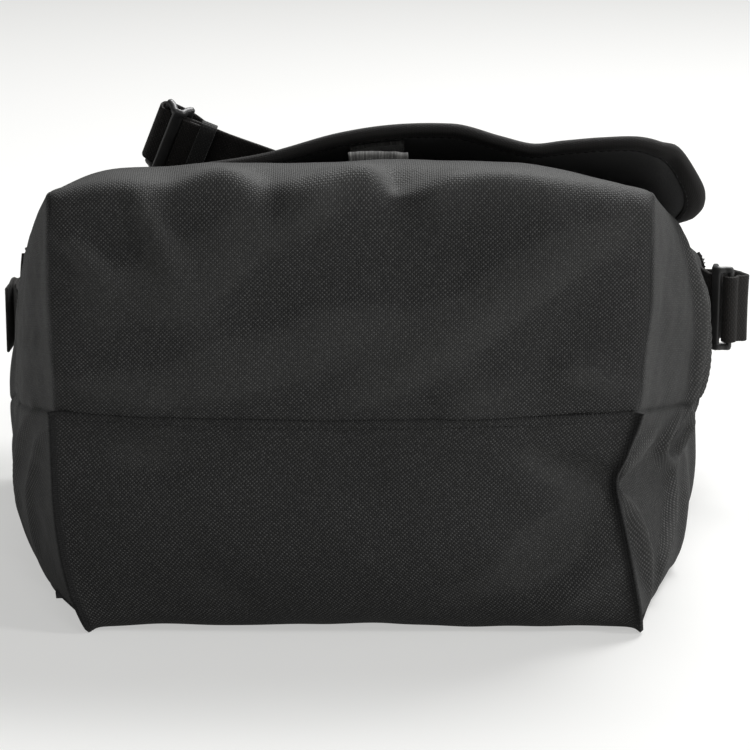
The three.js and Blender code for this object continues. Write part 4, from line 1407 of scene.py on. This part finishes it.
@dataclass
class Flap:
    """The flap over the front: outer cloth, smoother lining, and the tape that binds its edge."""

    half: float = 174.0
    reach: float = -80.0
    corner: float = 40.0
    lift: float = 6.0
    shoulder: float = 128.0
    shoulder_lift: float = 4.0
    back: float = 160.0
    foot: float = 76.0
    outer: float = 1.5
    lining: float = 1.2
    lining_depth: float = 3.2
    tape_wide: float = 9.5
    flare_right: float = 14.0
    pull_left: float = 24.0
    EDGE_LIFT = [
        (-200, -2), (-150, 0.5), (-100, 0.5), (-46, 4), (-5, 14.5), (20, 18.5), (52, 20), (78, 15),
        (93, 12.8), (110, 16.5), (130, 21.5), (150, 26), (166, 26.5), (181, 17), (200, 6),
    ]

    def build(self) -> None:
        """Makes the flap's layers, binding, stitches and hook strip."""
        self.line = self._line()
        outer = self._layer("flap_outer_cloth", 0.0, self.outer, 0.0, Finish.NYLON, "flap_outer")
        lining = self._layer(
            "flap_lining_cloth", self.lining_depth, self.lining, 2.0, Finish.LINING, "flap_lining"
        )
        self._binding()
        self._hook_strip()

    @staticmethod
    def front_height(x: Array, y: Array) -> Array:
        """Height of the front's outer face at x across and y along."""
        crest_y = SHAPE.base_y + 32
        side = SHAPE.base_height - SHAPE.slope * (y - SHAPE.base_y)
        crest = SHAPE.base_height + SHAPE.crown - 32 * SHAPE.slope
        end = SHAPE.mouth_height + SHAPE.mouth_crown
        middle = crest + (end - crest) * (y - crest_y) / (SHAPE.mouth_y - crest_y)
        share = np.clip((y - SHAPE.base_y) / (SHAPE.mouth_y - SHAPE.base_y), 0, 1)
        width = SHAPE.base_half + (SHAPE.mouth_half - SHAPE.base_half) * share
        t = np.minimum(np.abs(x) / width, 1)
        return side + (middle - side) * (1 - t**2.6)

    def height(self, x: Array, y: Array) -> Array:
        """Height of the flap's outer face at x across and y along, up to its shoulder."""
        x, y = np.asarray(x, float), np.asarray(y, float)
        spread = smoothstep((self.shoulder - y) / 80)
        side = smoothstep((np.abs(x) - 120) / 60) * (x > 0)
        length = 118 - 66 * side
        near = smoothstep((self.reach + length - y) / length)
        back = smoothstep((y - 60) / (self.shoulder - 60))
        rise = self.lift + self.shoulder_lift * back + near * eased(self.EDGE_LIFT, x)
        tuck = 3.0 * side * smoothstep((y - self.reach) / 40) * smoothstep((self.shoulder - y) / 60)
        flat = self.front_height(0 * x, y)
        return flat + (self.front_height(x, y) - flat) * spread + rise - tuck

    def _line(self) -> Line:
        """The flap's middle line in Y and Z, from its free edge over the mouth to its foot."""
        top = float(self.height(np.array(0.0), np.array(self.shoulder)))
        start = float(self.front_height(np.array(0.0), np.array(self.reach))) + self.lift
        over = (self.shoulder, top), (self.shoulder + 20, top - 4)
        turn = bezier(*over, (self.back, top - 3), (self.back, top - 28))
        return Line([(self.reach, start)], turn, [(self.back, self.foot)])

    def drawn(self, x: Array, d: Array) -> Array:
        """Where the cloth lies across: its right corner flares out and its left is pulled in.

        Args:
            x: Across from its middle.
            d: Distance from its free edge.

        Returns:
            The place across.
        """
        right = self.flare_right * smoothstep((x - 60) / (self.half - 60)) * (1 - smoothstep((d - 20) / 80))
        left = self.pull_left * smoothstep((-x - 60) / (self.half - 60)) * (1 - smoothstep((d - 60) / 140))
        return x + right + left

    def face(self, x: Array, d: Array) -> Array:
        """The flap's outer face.

        Args:
            x: Across from its middle.
            d: Distance from its free edge.

        Returns:
            The points.
        """
        x, d = np.broadcast_arrays(np.asarray(x, float), np.asarray(d, float))
        x = self.drawn(x, d)
        flat = self.line.at(np.clip(d / self.line.length, 0, 1))
        y = flat[..., 0] + np.minimum(d, 0)
        on_top = y < self.shoulder - 1e-6
        z = np.where(on_top, self.height(x, np.minimum(y, self.shoulder)), flat[..., 1])
        soft = 0.8 * ripple(x, d, 90, 71) * smoothstep(d / 30) * smoothstep((self.line.length - d) / 60)
        return np.stack([x, y, z + np.where(on_top, np.maximum(soft, -0.6), 0)], -1)

    def half_at(self, d: Array, trim: float) -> Array:
        """Half the flap's width at a distance from its free edge, moved in by trim."""
        short = np.maximum(0, self.corner - d)
        inner = np.maximum(0, (self.corner - trim) ** 2 - short**2)
        return self.half - self.corner + np.sqrt(inner)

    def _layer(
        self, name: str, depth: float, thick: float, trim: float, finish: Finish, node: str
    ) -> bpy.types.Object:
        """Makes one of the flap's layers.

        Args:
            name: The piece's name.
            depth: How far its upper face lies under the flap's outer face.
            thick: Its thickness.
            trim: How far it stays inside the flap's edge.
            finish: Its finish.
            node: The node it replaces.

        Returns:
            The layer.
        """
        turn = 1 - np.cos(np.linspace(0, math.pi / 2, 30))
        near = trim + (self.corner - trim) * turn
        end = self.line.length - trim
        d = np.concatenate([near, np.linspace(self.corner, 208, 70)[1:], np.linspace(208, end, 60)[1:]])
        u = np.linspace(-1, 1, 150)
        dd = np.repeat(d[:, None], len(u), 1)
        points = self.face(u[None] * self.half_at(d, trim)[:, None], dd)
        normal = surface_normals(self.face(u[None] * (self.half - 1), dd))
        normal = np.where(normal[..., 2:].mean() < 0, -normal, normal)
        points = points - normal * depth
        data = MeshData()
        data.grid(points, pattern_of(points))
        piece = data.make(name, finish)
        thicken(piece, thick)
        mount(piece, "flap", node)
        return piece

    def _outline(self) -> Line:
        """The flap's flat outline: up one side, along the free edge and down the other."""
        c, h = self.corner, self.half
        turn = np.linspace(0, math.pi / 2, 30)
        left = np.column_stack([-h + c - c * np.cos(turn), c - c * np.sin(turn)])
        right = np.column_stack([h - c + c * np.sin(turn), c - c * np.cos(turn)])
        far = self.line.length - 2
        side = np.linspace(far, c, 60)
        across = np.linspace(-h + c, h - c, 90)
        first = np.column_stack([np.full(60, -h), side])
        edge = np.column_stack([across, np.zeros(90)])
        last = np.column_stack([np.full(60, h), side[::-1]])
        return Line(first, left, edge, right, last)

    def _binding(self) -> None:
        """Folds tape round the flap's edge and sews it."""
        outline = self._outline()
        shares = np.linspace(0, 1, 420)
        flat = outline.at(shares)
        run = outline.tangent(shares)
        inward = np.column_stack([-run[:, 1], run[:, 0]])
        wide = self.tape_wide
        outside = [(wide, 0.25), (wide - 0.6, 0.85), (wide / 2, 0.95), (1.5, 0.9), (0.0, 0.45), (-0.8, -0.6)]
        turned = [(-1.0, -2.0), (-0.8, -3.6), (0.2, -4.6), (2.0, -5.3)]
        under = [(wide / 2, -5.4), (wide - 0.4, -5.3), (wide, -4.7)]
        inner = [(wide - 0.3, -4.5), (1.6, -4.6), (0.5, -3.6), (0.2, -2.0), (0.5, -0.4), (1.6, 0.2)]
        section = np.array(outside + turned + under + inner)
        offset = flat[:, None] + inward[:, None] * section[None, :, :1]
        on_face = self.face(offset[..., 0], offset[..., 1])
        edge_x, edge_d = (flat + inward * 3.0)[:, 0], (flat + inward * 3.0)[:, 1]
        ahead = self.face(edge_x, edge_d + 2) - self.face(edge_x, np.maximum(edge_d - 2, -2))
        right = self.face(edge_x + 2, edge_d) - self.face(edge_x - 2, edge_d)
        up = unit(np.cross(right, ahead))
        ring = on_face + up[:, None] * section[None, :, 1:]
        data = MeshData()
        data.grid(ring, pattern_of(ring)[..., ::-1], around=True, flip=True)
        mount(data.make("flap_binding_cloth", Finish.TAPE), "flap", "flap_binding")
        sewn = flat + inward * (wide - 1.8)
        for name, level in (("flap_binding_stitches", 0.95), ("flap_lining_stitches", -5.45)):
            row = self.face(sewn[:, 0], sewn[:, 1]) + up * level
            stitches(name, Line(row), up * (1 if level > 0 else -1), "flap", Sewing(2.6, 1.4, 0.3))

    def _hook_strip(self) -> None:
        """Makes the hook strip under the flap."""
        x, d = np.meshgrid(np.linspace(0, 28, 30), np.linspace(14, 92, 70))
        points = self.face(x, d) - np.array([0, 0, 5.2])
        points[..., 2] -= 0.3 * np.abs(ripple(x, d, 3.0, 81))
        data = MeshData()
        data.grid(points, pattern_of(points))
        piece = data.make("closure_hook_cloth", Finish.PILE)
        thicken(piece, 2.0)
        mount(piece, "flap", "closure_hook_strip")


FLAP = Flap()


@dataclass
class Closure:
    """The strip of loop pile on the front: its end stands proud of the cloth at the crest."""

    left: float = 0.5
    right: float = 27.5
    thick: float = 2.2
    stand: float = 4.2

    def build(self) -> None:
        """Makes the strip with its frayed pile."""
        u, v = np.meshgrid(np.linspace(0, 1, 44), np.linspace(0, 1, 90))
        y = -113 + 83 * v
        taper = 1.6 * (1 - smoothstep(v / 0.08))
        x = self.left - taper + (self.right - self.left + 2 * taper) * u
        lifted = self.stand * (1 - smoothstep((v - 0.12) / 0.3))
        arch = 1.0 - 0.15 * (2 * u - 1) ** 2
        surface = FLAP.front_height(x, y) + 0.6
        pile = 0.1 * ripple(x, y, 3.5, 91) + 0.2 * ripple(x, y, 9.0, 92)
        z = surface + self.thick + lifted * arch + pile
        points = np.stack([x, y, z], -1)
        data = MeshData()
        data.grid(points, pattern_of(points))
        piece = data.make("closure_pile_cloth", Finish.PILE)
        thicken(piece, self.thick + 2.5)
        mount(piece, "bag", "closure_loop_strip")


@dataclass
class Slide:
    """A three-bar slide: two rounded rails and three bars, the middle one raised over the webbing."""

    long: float = 50.0
    wide: float = 16.0
    rail: float = 4.2
    bar: float = 3.8
    middle: float = 6.4
    thick: float = 3.0
    lift: float = 2.6

    def build(self, name: str, centre: Array, run: Array, stand: Array, body: str, node: str) -> None:
        """Makes a slide.

        Args:
            name: The piece's name.
            centre: Its middle.
            run: The direction of the webbing through it.
            stand: The direction of its bars.
            body: The body that carries it.
            node: The node it replaces.
        """
        run = unit(run)
        stand = unit(stand - run * float(stand @ run))
        basis = np.stack([run, stand, np.cross(run, stand)])
        data = MeshData()
        half = self.long / 2 - self.rail / 2
        reach = self.wide / 2 - self.bar / 2
        for side in (-1, 1):
            bend = ((-1, -self.lift), (-0.62, -0.6), (-0.3, self.lift * 0.9))
            bend = bend + tuple((-x, z) for x, z in bend[::-1])
            spine = through([(x * reach, side * half, z) for x, z in bend], 6)
            rod = self._rod(spine, self.rail * 0.52, self.thick * 0.62, np.array([0.0, 1.0, 0.0]))
            data.rod(rod @ basis + centre)
        outer, inner = (-self.lift, self.bar), (self.lift, self.middle)
        for x, (z, wide) in ((-reach, outer), (0.0, inner), (reach, outer)):
            spine = through([(x, y, z) for y in (-half, 0, half)], 4)
            rod = self._rod(spine, wide * 0.5, self.thick * 0.5, np.array([1.0, 0.0, 0.0]))
            data.rod(rod @ basis + centre)
        mount(data.make(name, Finish.PLASTIC), body, node)

    @staticmethod
    def _rod(spine: Array, wide: float, high: float, across: Array) -> Array:
        """Works out a moulded rod with rounded ends.

        Args:
            spine: Its middle line in the slide's own directions.
            wide: Half its width.
            high: Half its height.
            across: Its width direction.

        Returns:
            The rod's rings.
        """
        run = unit(np.gradient(spine, axis=0))
        up = unit(np.cross(run, across))
        turns = full_turn(16)[None, :, None]
        level, rise = wide * signed_power(np.cos(turns), 0.7), high * signed_power(np.sin(turns), 0.7)
        ring = spine[:, None] + across * level + up[:, None] * rise
        caps = []
        for end, way in ((0, -1), (-1, 1)):
            for out, size in ((0.45, 0.85), (0.75, 0.5)):
                middle = spine[end] + way * run[end] * wide * out
                caps.append(middle + (ring[end] - spine[end]) * size)
        return np.concatenate([[caps[1]], [caps[0]], ring, [caps[2]], [caps[3]]])


@dataclass
class Strap:
    """The shoulder strap: webbing, a slide to adjust it, a keeper and the end buckle."""

    width: float = 40.0
    webbing: float = 1.8
    left_height: float = 98.0
    adjuster: Point = (-99.0, 12.0, 229.0)
    run: Point = (0.927, 0.0, -0.374)
    stand: Point = (0.311, -0.555, 0.772)
    inner_bar: Point = (215.5, 113.0, 113.0)
    outward: Point = (0.62, -0.785, 0.0)

    def build(self) -> None:
        """Makes the webbing, both slides, the keeper and the sewn ends."""
        self.slide = Slide()
        self._webbing()
        self._adjuster()
        self._keeper()
        self._right_end()

    def _along(self, distance: float) -> Array:
        """A point on the straight stretch through the adjuster."""
        return np.array(self.adjuster) + unit(np.array(self.run)) * distance

    def _face(self) -> Array:
        """The direction out of the adjuster's face."""
        return unit(np.cross(np.array(self.run), np.array(self.stand)))

    def _straight(self, distance: float, out: float = 0.0, up: float = 0.0) -> tuple[float, ...]:
        """A station by the straight stretch, with the strap standing on its edge.

        Args:
            distance: Along the stretch from the adjuster's middle.
            out: Out of the adjuster's face.
            up: Along the adjuster's bars.

        Returns:
            The station's point and width direction.
        """
        stand = unit(np.array(self.stand))
        return (*(self._along(distance) + self._face() * out + stand * up), *self.stand)

    def _resting(self, x: float, y: float, wx: float, wy: float, clear: float = 2.6) -> tuple[float, ...]:
        """A station where the strap lies on the flap, following its slope.

        Args:
            x: Across.
            y: Along.
            wx: Width direction across.
            wy: Width direction along.
            clear: Height of the webbing's middle above the flap.

        Returns:
            The station's point and width direction.
        """
        half = self.width / 2
        low, middle, high = (
            float(FLAP.height(np.array(x + k * wx * half), np.array(y + k * wy * half))) for k in (-1, 0, 1)
        )
        return (x, y, middle + clear, wx, wy, (high - low) / (2 * half))

    def _ribbon(self, name: str, stations: list[tuple[float, ...]], steps: int, body: str, node: str) -> None:
        """Makes a stretch of webbing.

        Args:
            name: The piece's name.
            stations: Points with width directions.
            steps: How many rings it has.
            body: The body that carries it.
            node: The node it replaces.
        """
        whole = through([list(s) for s in stations], 16)
        path = Line(whole[:, :3])
        shares = np.linspace(0, 1, steps)
        reach = np.concatenate([[0.0], np.cumsum(np.linalg.norm(np.diff(whole[:, :3], axis=0), axis=1))])
        wide = np.stack([np.interp(shares * reach[-1], reach, whole[:, 3 + k]) for k in range(3)], -1)
        section = rounded_strip(self.width, self.webbing)
        ring = swept_section(path, wide, section, shares)
        around = np.concatenate([[0.0], np.cumsum(np.linalg.norm(np.diff(section, axis=0), axis=1))])
        pattern = np.stack(np.meshgrid(around, shares * path.length), -1)
        data = MeshData()
        data.rod(ring, pattern, flip=True)
        mount(data.make(name, Finish.WEBBING), body, node)

    def _webbing(self) -> None:
        """Makes the three stretches of the strap and the left end, sewn to its gusset."""
        h = self.left_height
        sewn = ((-193.4, 108), (-196.6, 124), (-201, 140), (-202.6, 152), (-202.7, 166))
        lead = [(x, y, h, 0, 0, 1) for x, y in sewn]
        left = [
            (-206, 138, h, 0, 0, 1), (-205.4, 152, h, 0, 0, 1), (-205.4, 166, h, 0, 0, 1),
            (-204, 184, 94, 0, 0, 1), (-194, 206, 99, 0.1, 0.2, 1), (-176, 219, 118, 0.6, 0.5, 1), (-155, 214, 141, 1, 0.4, 0.4),
            (-140, 190, 161, 1, 0.1, 0), (-128, 158, 171, 1, 0.1, 0), self._resting(-108, 120, 0.97, 0.24, 4),
            self._resting(-86, 92, 0.88, 0.47, 4.5), self._resting(-74, 64, 0.97, 0.2, 7),
            (-72, 42, 208, 0.8, -0.4, 0.4), (-80.4, 25.2, 218.1, 0.5, -0.6, 0.6),
        ]
        around_bar = [
            (12, -7, -5), (3, -6.6, -1), (-4.5, -6.4, 0), (-7.6, -6, 0), (-9.3, -4.7, 0), (-9.95, -2.9, 0),
            (-9.7, -1.2, 0), (-8.6, -0.1, 0), (-6.8, 0.05, 0), (-4, 0, 0), (-0.4, 0, 0),
        ]
        left += [self._straight(*turn) for turn in around_bar]
        top = [
            self._straight(0), self._straight(6), self._straight(12), self._straight(24), self._straight(32),
            (-46, 19.5, 211, 0.28, -0.72, 0.56), self._resting(-8, 42, 0.15, -0.98, 3.4),
            self._resting(30, 54, 0.25, -0.95), self._resting(66, 72, 0.45, -0.88),
            self._resting(90, 94, 0.75, -0.6),
            self._resting(105, 112, 0.93, -0.36), self._resting(109.6, 123.4, 0.95, -0.3, 3.4),
        ]
        right = [
            self._resting(110.0, 124.6, 0.95, -0.3, 3.4),
            (113.6, 136, 174, 1, -0.3, 0), (122.5, 162, 168.5, 1, -0.2, -0.1),
            (138, 192, 150, 1, 0, -0.4), (158, 210, 129, 0.9, 0.2, -0.9), (183, 211, 109, 0.4, 0.2, -1),
            (207, 196, 99, 0.1, 0, -1), (224, 181, 100, 0, 0, -1), (230, 165, 103, 0, 0, -1),
            (230.2, 152, 105.5, 0, 0, -1), (230.2, 139, 108, 0, 0, -1),
        ]
        self._ribbon("strap_left_end_webbing", lead, 60, "bag", "strap_left_end")
        self._ribbon("strap_left_webbing", left, 420, "strap", "strap_left_run")
        self._ribbon("strap_top_webbing", top, 220, "strap", "strap_top_run")
        self._ribbon("strap_right_webbing", right, 200, "strap", "strap_right_run")
        self._end_stitches()

    def _end_stitches(self) -> None:
        """Sews the strap's left end to its gusset with a crossed square."""
        for name, y0, z0, y1, z1 in (
            ("left_end_stitches_low", 112, 82, 134, 82), ("left_end_stitches_high", 112, 114, 134, 114),
            ("left_end_stitches_near", 112, 82, 112, 114), ("left_end_stitches_cross", 112, 82, 134, 114),
            ("left_end_stitches_back", 112, 114, 134, 82),
        ):
            y = np.linspace(y0, y1, 12)
            x = np.interp(y, (108, 124, 140), (-194.4, -197.6, -202.0))
            row = np.column_stack([x, y, np.linspace(z0, z1, 12)])
            stitches(name, Line(row), np.tile([-1.0, 0.2, 0.0], (12, 1)), "bag", Sewing(2.4, 1.0, 0.3))

    def _adjuster(self) -> None:
        """Makes the adjusting slide and the strap's tail sewn to it."""
        run, stand = np.array(self.run), np.array(self.stand)
        self.slide.build("adjuster_slide", np.array(self.adjuster), run, stand, "adjuster", "adjuster")
        tail = [self._straight(d, self.webbing + 0.4) for d in (3.6, 10, 16, 21.6)]
        self._ribbon("strap_tail_webbing", tail, 40, "adjuster", "strap_tail")

    def _keeper(self) -> None:
        """Makes the elastic loop that holds the tail to the strap."""
        run, stand = unit(np.array(self.run)), np.array(self.stand)
        stand = unit(stand - run * float(stand @ run))
        face = np.cross(run, stand)
        half, high, centre = self.width / 2 + 1.4, 3.1, self._along(18) + face * 0.9
        turns = full_turn(48)[:, None]
        across, rise = half * signed_power(np.cos(turns), 0.25), high * signed_power(np.sin(turns), 0.6)
        loop = centre + stand * across + face * rise
        path = Line(np.concatenate([loop, loop[:1]]))
        shares = np.linspace(0, 1, 97)[:-1]
        section = rounded_strip(9.0, 1.2)
        ring = swept_section(path, np.tile(run, (96, 1)), section, shares)
        data = MeshData()
        closed = np.concatenate([ring, ring[:1]])
        data.grid(closed, pattern_of(closed), around=True)
        mount(data.make("keeper_elastic", Finish.ELASTIC), "keeper", "strap_keeper")

    def _wrap(
        self,
        name: str,
        centre: Array,
        turn: tuple[float, float],
        before: list[tuple],
        after: list[tuple],
        body: str,
        node: str,
    ) -> None:
        """Wraps webbing round a bar.

        Args:
            name: The piece's name.
            centre: The bar's middle.
            turn: The angle where it meets the bar and the angle it turns through, in half turns.
            before: Its way to the bar, across and along.
            after: Its way from the bar.
            body: The body that carries it.
            node: The node it replaces.
        """
        radius = math.hypot(self.slide.bar, self.slide.thick) / 2 + 0.4 + self.webbing / 2
        start, sweep = (share * math.pi for share in turn)
        angles = [start + sweep * i / 10 for i in range(11)]
        round_bar = [tuple(centre + radius * np.array([math.cos(a), math.sin(a), 0])) for a in angles]
        self._ribbon(name, [(*point, 0, 0, 1) for point in before + round_bar + after], 140, body, node)

    def _right_end(self) -> None:
        """Makes the end buckle, its anchor and the strap's sewn end."""
        bar = np.array(self.inner_bar)
        outward, stand = np.array(self.outward), np.array([0, 0, 1.0])
        spacing = self.slide.wide - self.slide.bar
        centre = bar + outward * spacing / 2 + unit(np.cross(outward, stand)) * self.slide.lift
        self.slide.build("end_buckle_slide", centre, outward, stand, "end_buckle", "end_buckle")
        lead = [(209.6, 146, 113), (209, 128, 113)]
        self._wrap("anchor_webbing_loop", bar, (0.98, 1.25), lead, [], "bag", "anchor_webbing")
        outer = bar + outward * spacing
        tail = [(233.2, 108, 112.5), (232.9, 124, 110.5), (232.9, 144, 107), (232.9, 164, 103.5)]
        self._wrap("strap_right_end_webbing", outer, (-0.98, 1.0), [], tail, "end_buckle", "strap_right_end")


@dataclass
class Studio:
    """The pale floor, the soft lights and the camera."""

    floor_tone: Point = (0.45, 0.45, 0.443)
    floor_glow: float = 0.47
    glow_on_object: float = 0.1
    pitch: float = 15.0
    distance: float = 1400.0
    focal: float = 134.4
    aim: Point = (0.0, -150.0, 118.0)
    shift: tuple[float, float] = (25 / 750, 37 / 750)

    def camera(self) -> None:
        """Places the camera in front of the base, a little above it."""
        lens = bpy.data.cameras.new("camera")
        lens.lens = self.focal
        lens.sensor_width = 36.0
        lens.shift_x, lens.shift_y = self.shift
        lens.clip_end = 30.0
        eye = bpy.data.objects.new("camera", lens)
        bpy.context.scene.collection.objects.link(eye)
        tilt = math.radians(self.pitch)
        back = np.array([0.0, -math.cos(tilt), math.sin(tilt)]) * self.distance
        eye.location = Vector(LAYOUT.place(np.array(self.aim) + back))
        eye.rotation_euler = (math.pi / 2 - tilt, 0.0, 0.0)
        bpy.context.scene.camera = eye

    def floor(self) -> None:
        """Lays the floor."""
        mesh = bpy.data.meshes.new("studio_floor")
        size = 9.0
        corners = [(-size, -size, 0), (size, -size, 0), (size, size, 0), (-size, size, 0)]
        mesh.from_pydata(corners, [], [(0, 1, 2, 3)])
        plane = bpy.data.objects.new("studio_floor", mesh)
        bpy.context.scene.collection.objects.link(plane)
        material = bpy.data.materials.new("studio_paper")
        material.use_nodes = True
        shader = material.node_tree.nodes["Principled BSDF"]
        shader.inputs["Base Color"].default_value = (*self.floor_tone, 1)
        shader.inputs["Roughness"].default_value = 0.95
        shader.inputs["Specular IOR Level"].default_value = 0.1
        shader.inputs["Emission Color"].default_value = (1.0, 1.0, 0.985, 1)
        paths = material.node_tree.nodes.new("ShaderNodeLightPath")
        glow = material.node_tree.nodes.new("ShaderNodeMapRange")
        glow.inputs["To Min"].default_value = self.glow_on_object
        glow.inputs["To Max"].default_value = self.floor_glow
        material.node_tree.links.new(paths.outputs["Is Camera Ray"], glow.inputs["Value"])
        material.node_tree.links.new(glow.outputs["Result"], shader.inputs["Emission Strength"])
        mesh.materials.append(material)

    @staticmethod
    def _lamp(name: str, spot: Point, target: Point, size: tuple[float, float], power: float) -> None:
        """Hangs a soft rectangular lamp.

        Args:
            name: The lamp's name.
            spot: Where it hangs, in metres.
            target: What it points at, in metres.
            size: Its two sides.
            power: Its output in watts.
        """
        light = bpy.data.lights.new(name, "AREA")
        light.shape = "RECTANGLE"
        light.size, light.size_y = size
        light.energy = power
        lamp = bpy.data.objects.new(name, light)
        bpy.context.scene.collection.objects.link(lamp)
        lamp.location = spot
        lamp.rotation_euler = (Vector(target) - Vector(spot)).to_track_quat("-Z", "Y").to_euler()

    def lights(self) -> None:
        """Hangs the lamps and sets the surrounding light."""
        self._lamp("overhead", (0.8, 1.1, 2.5), (0, 0.1, 0.1), (1.5, 1.2), 92.0)
        self._lamp("front_right", (2.2, -1.1, 1.3), (0, -0.1, 0.15), (0.5, 0.5), 22.0)
        self._lamp("front", (0.2, -2.3, 2.4), (0, -0.1, 0.15), (0.7, 0.7), 9.0)
        world = bpy.data.worlds.new("studio_air")
        bpy.context.scene.world = world
        world.use_nodes = True
        air = world.node_tree.nodes["Background"]
        air.inputs["Color"].default_value = (1.0, 1.0, 0.99, 1)
        air.inputs["Strength"].default_value = 0.16
        bpy.context.scene.view_settings.view_transform = "Standard"
        bpy.context.scene.view_settings.look = "None"


def main() -> None:
    """Builds the bag, part by part, and its studio."""
    logging.basicConfig(level=logging.INFO, format="%(name)s: %(message)s")
    studio = Studio()
    studio.camera()
    Shell().build()
    Inside().build()
    Mouth().build()
    FLAP.build()
    Closure().build()
    Strap().build()
    studio.floor()
    studio.lights()


if __name__ == "__main__":
    main()
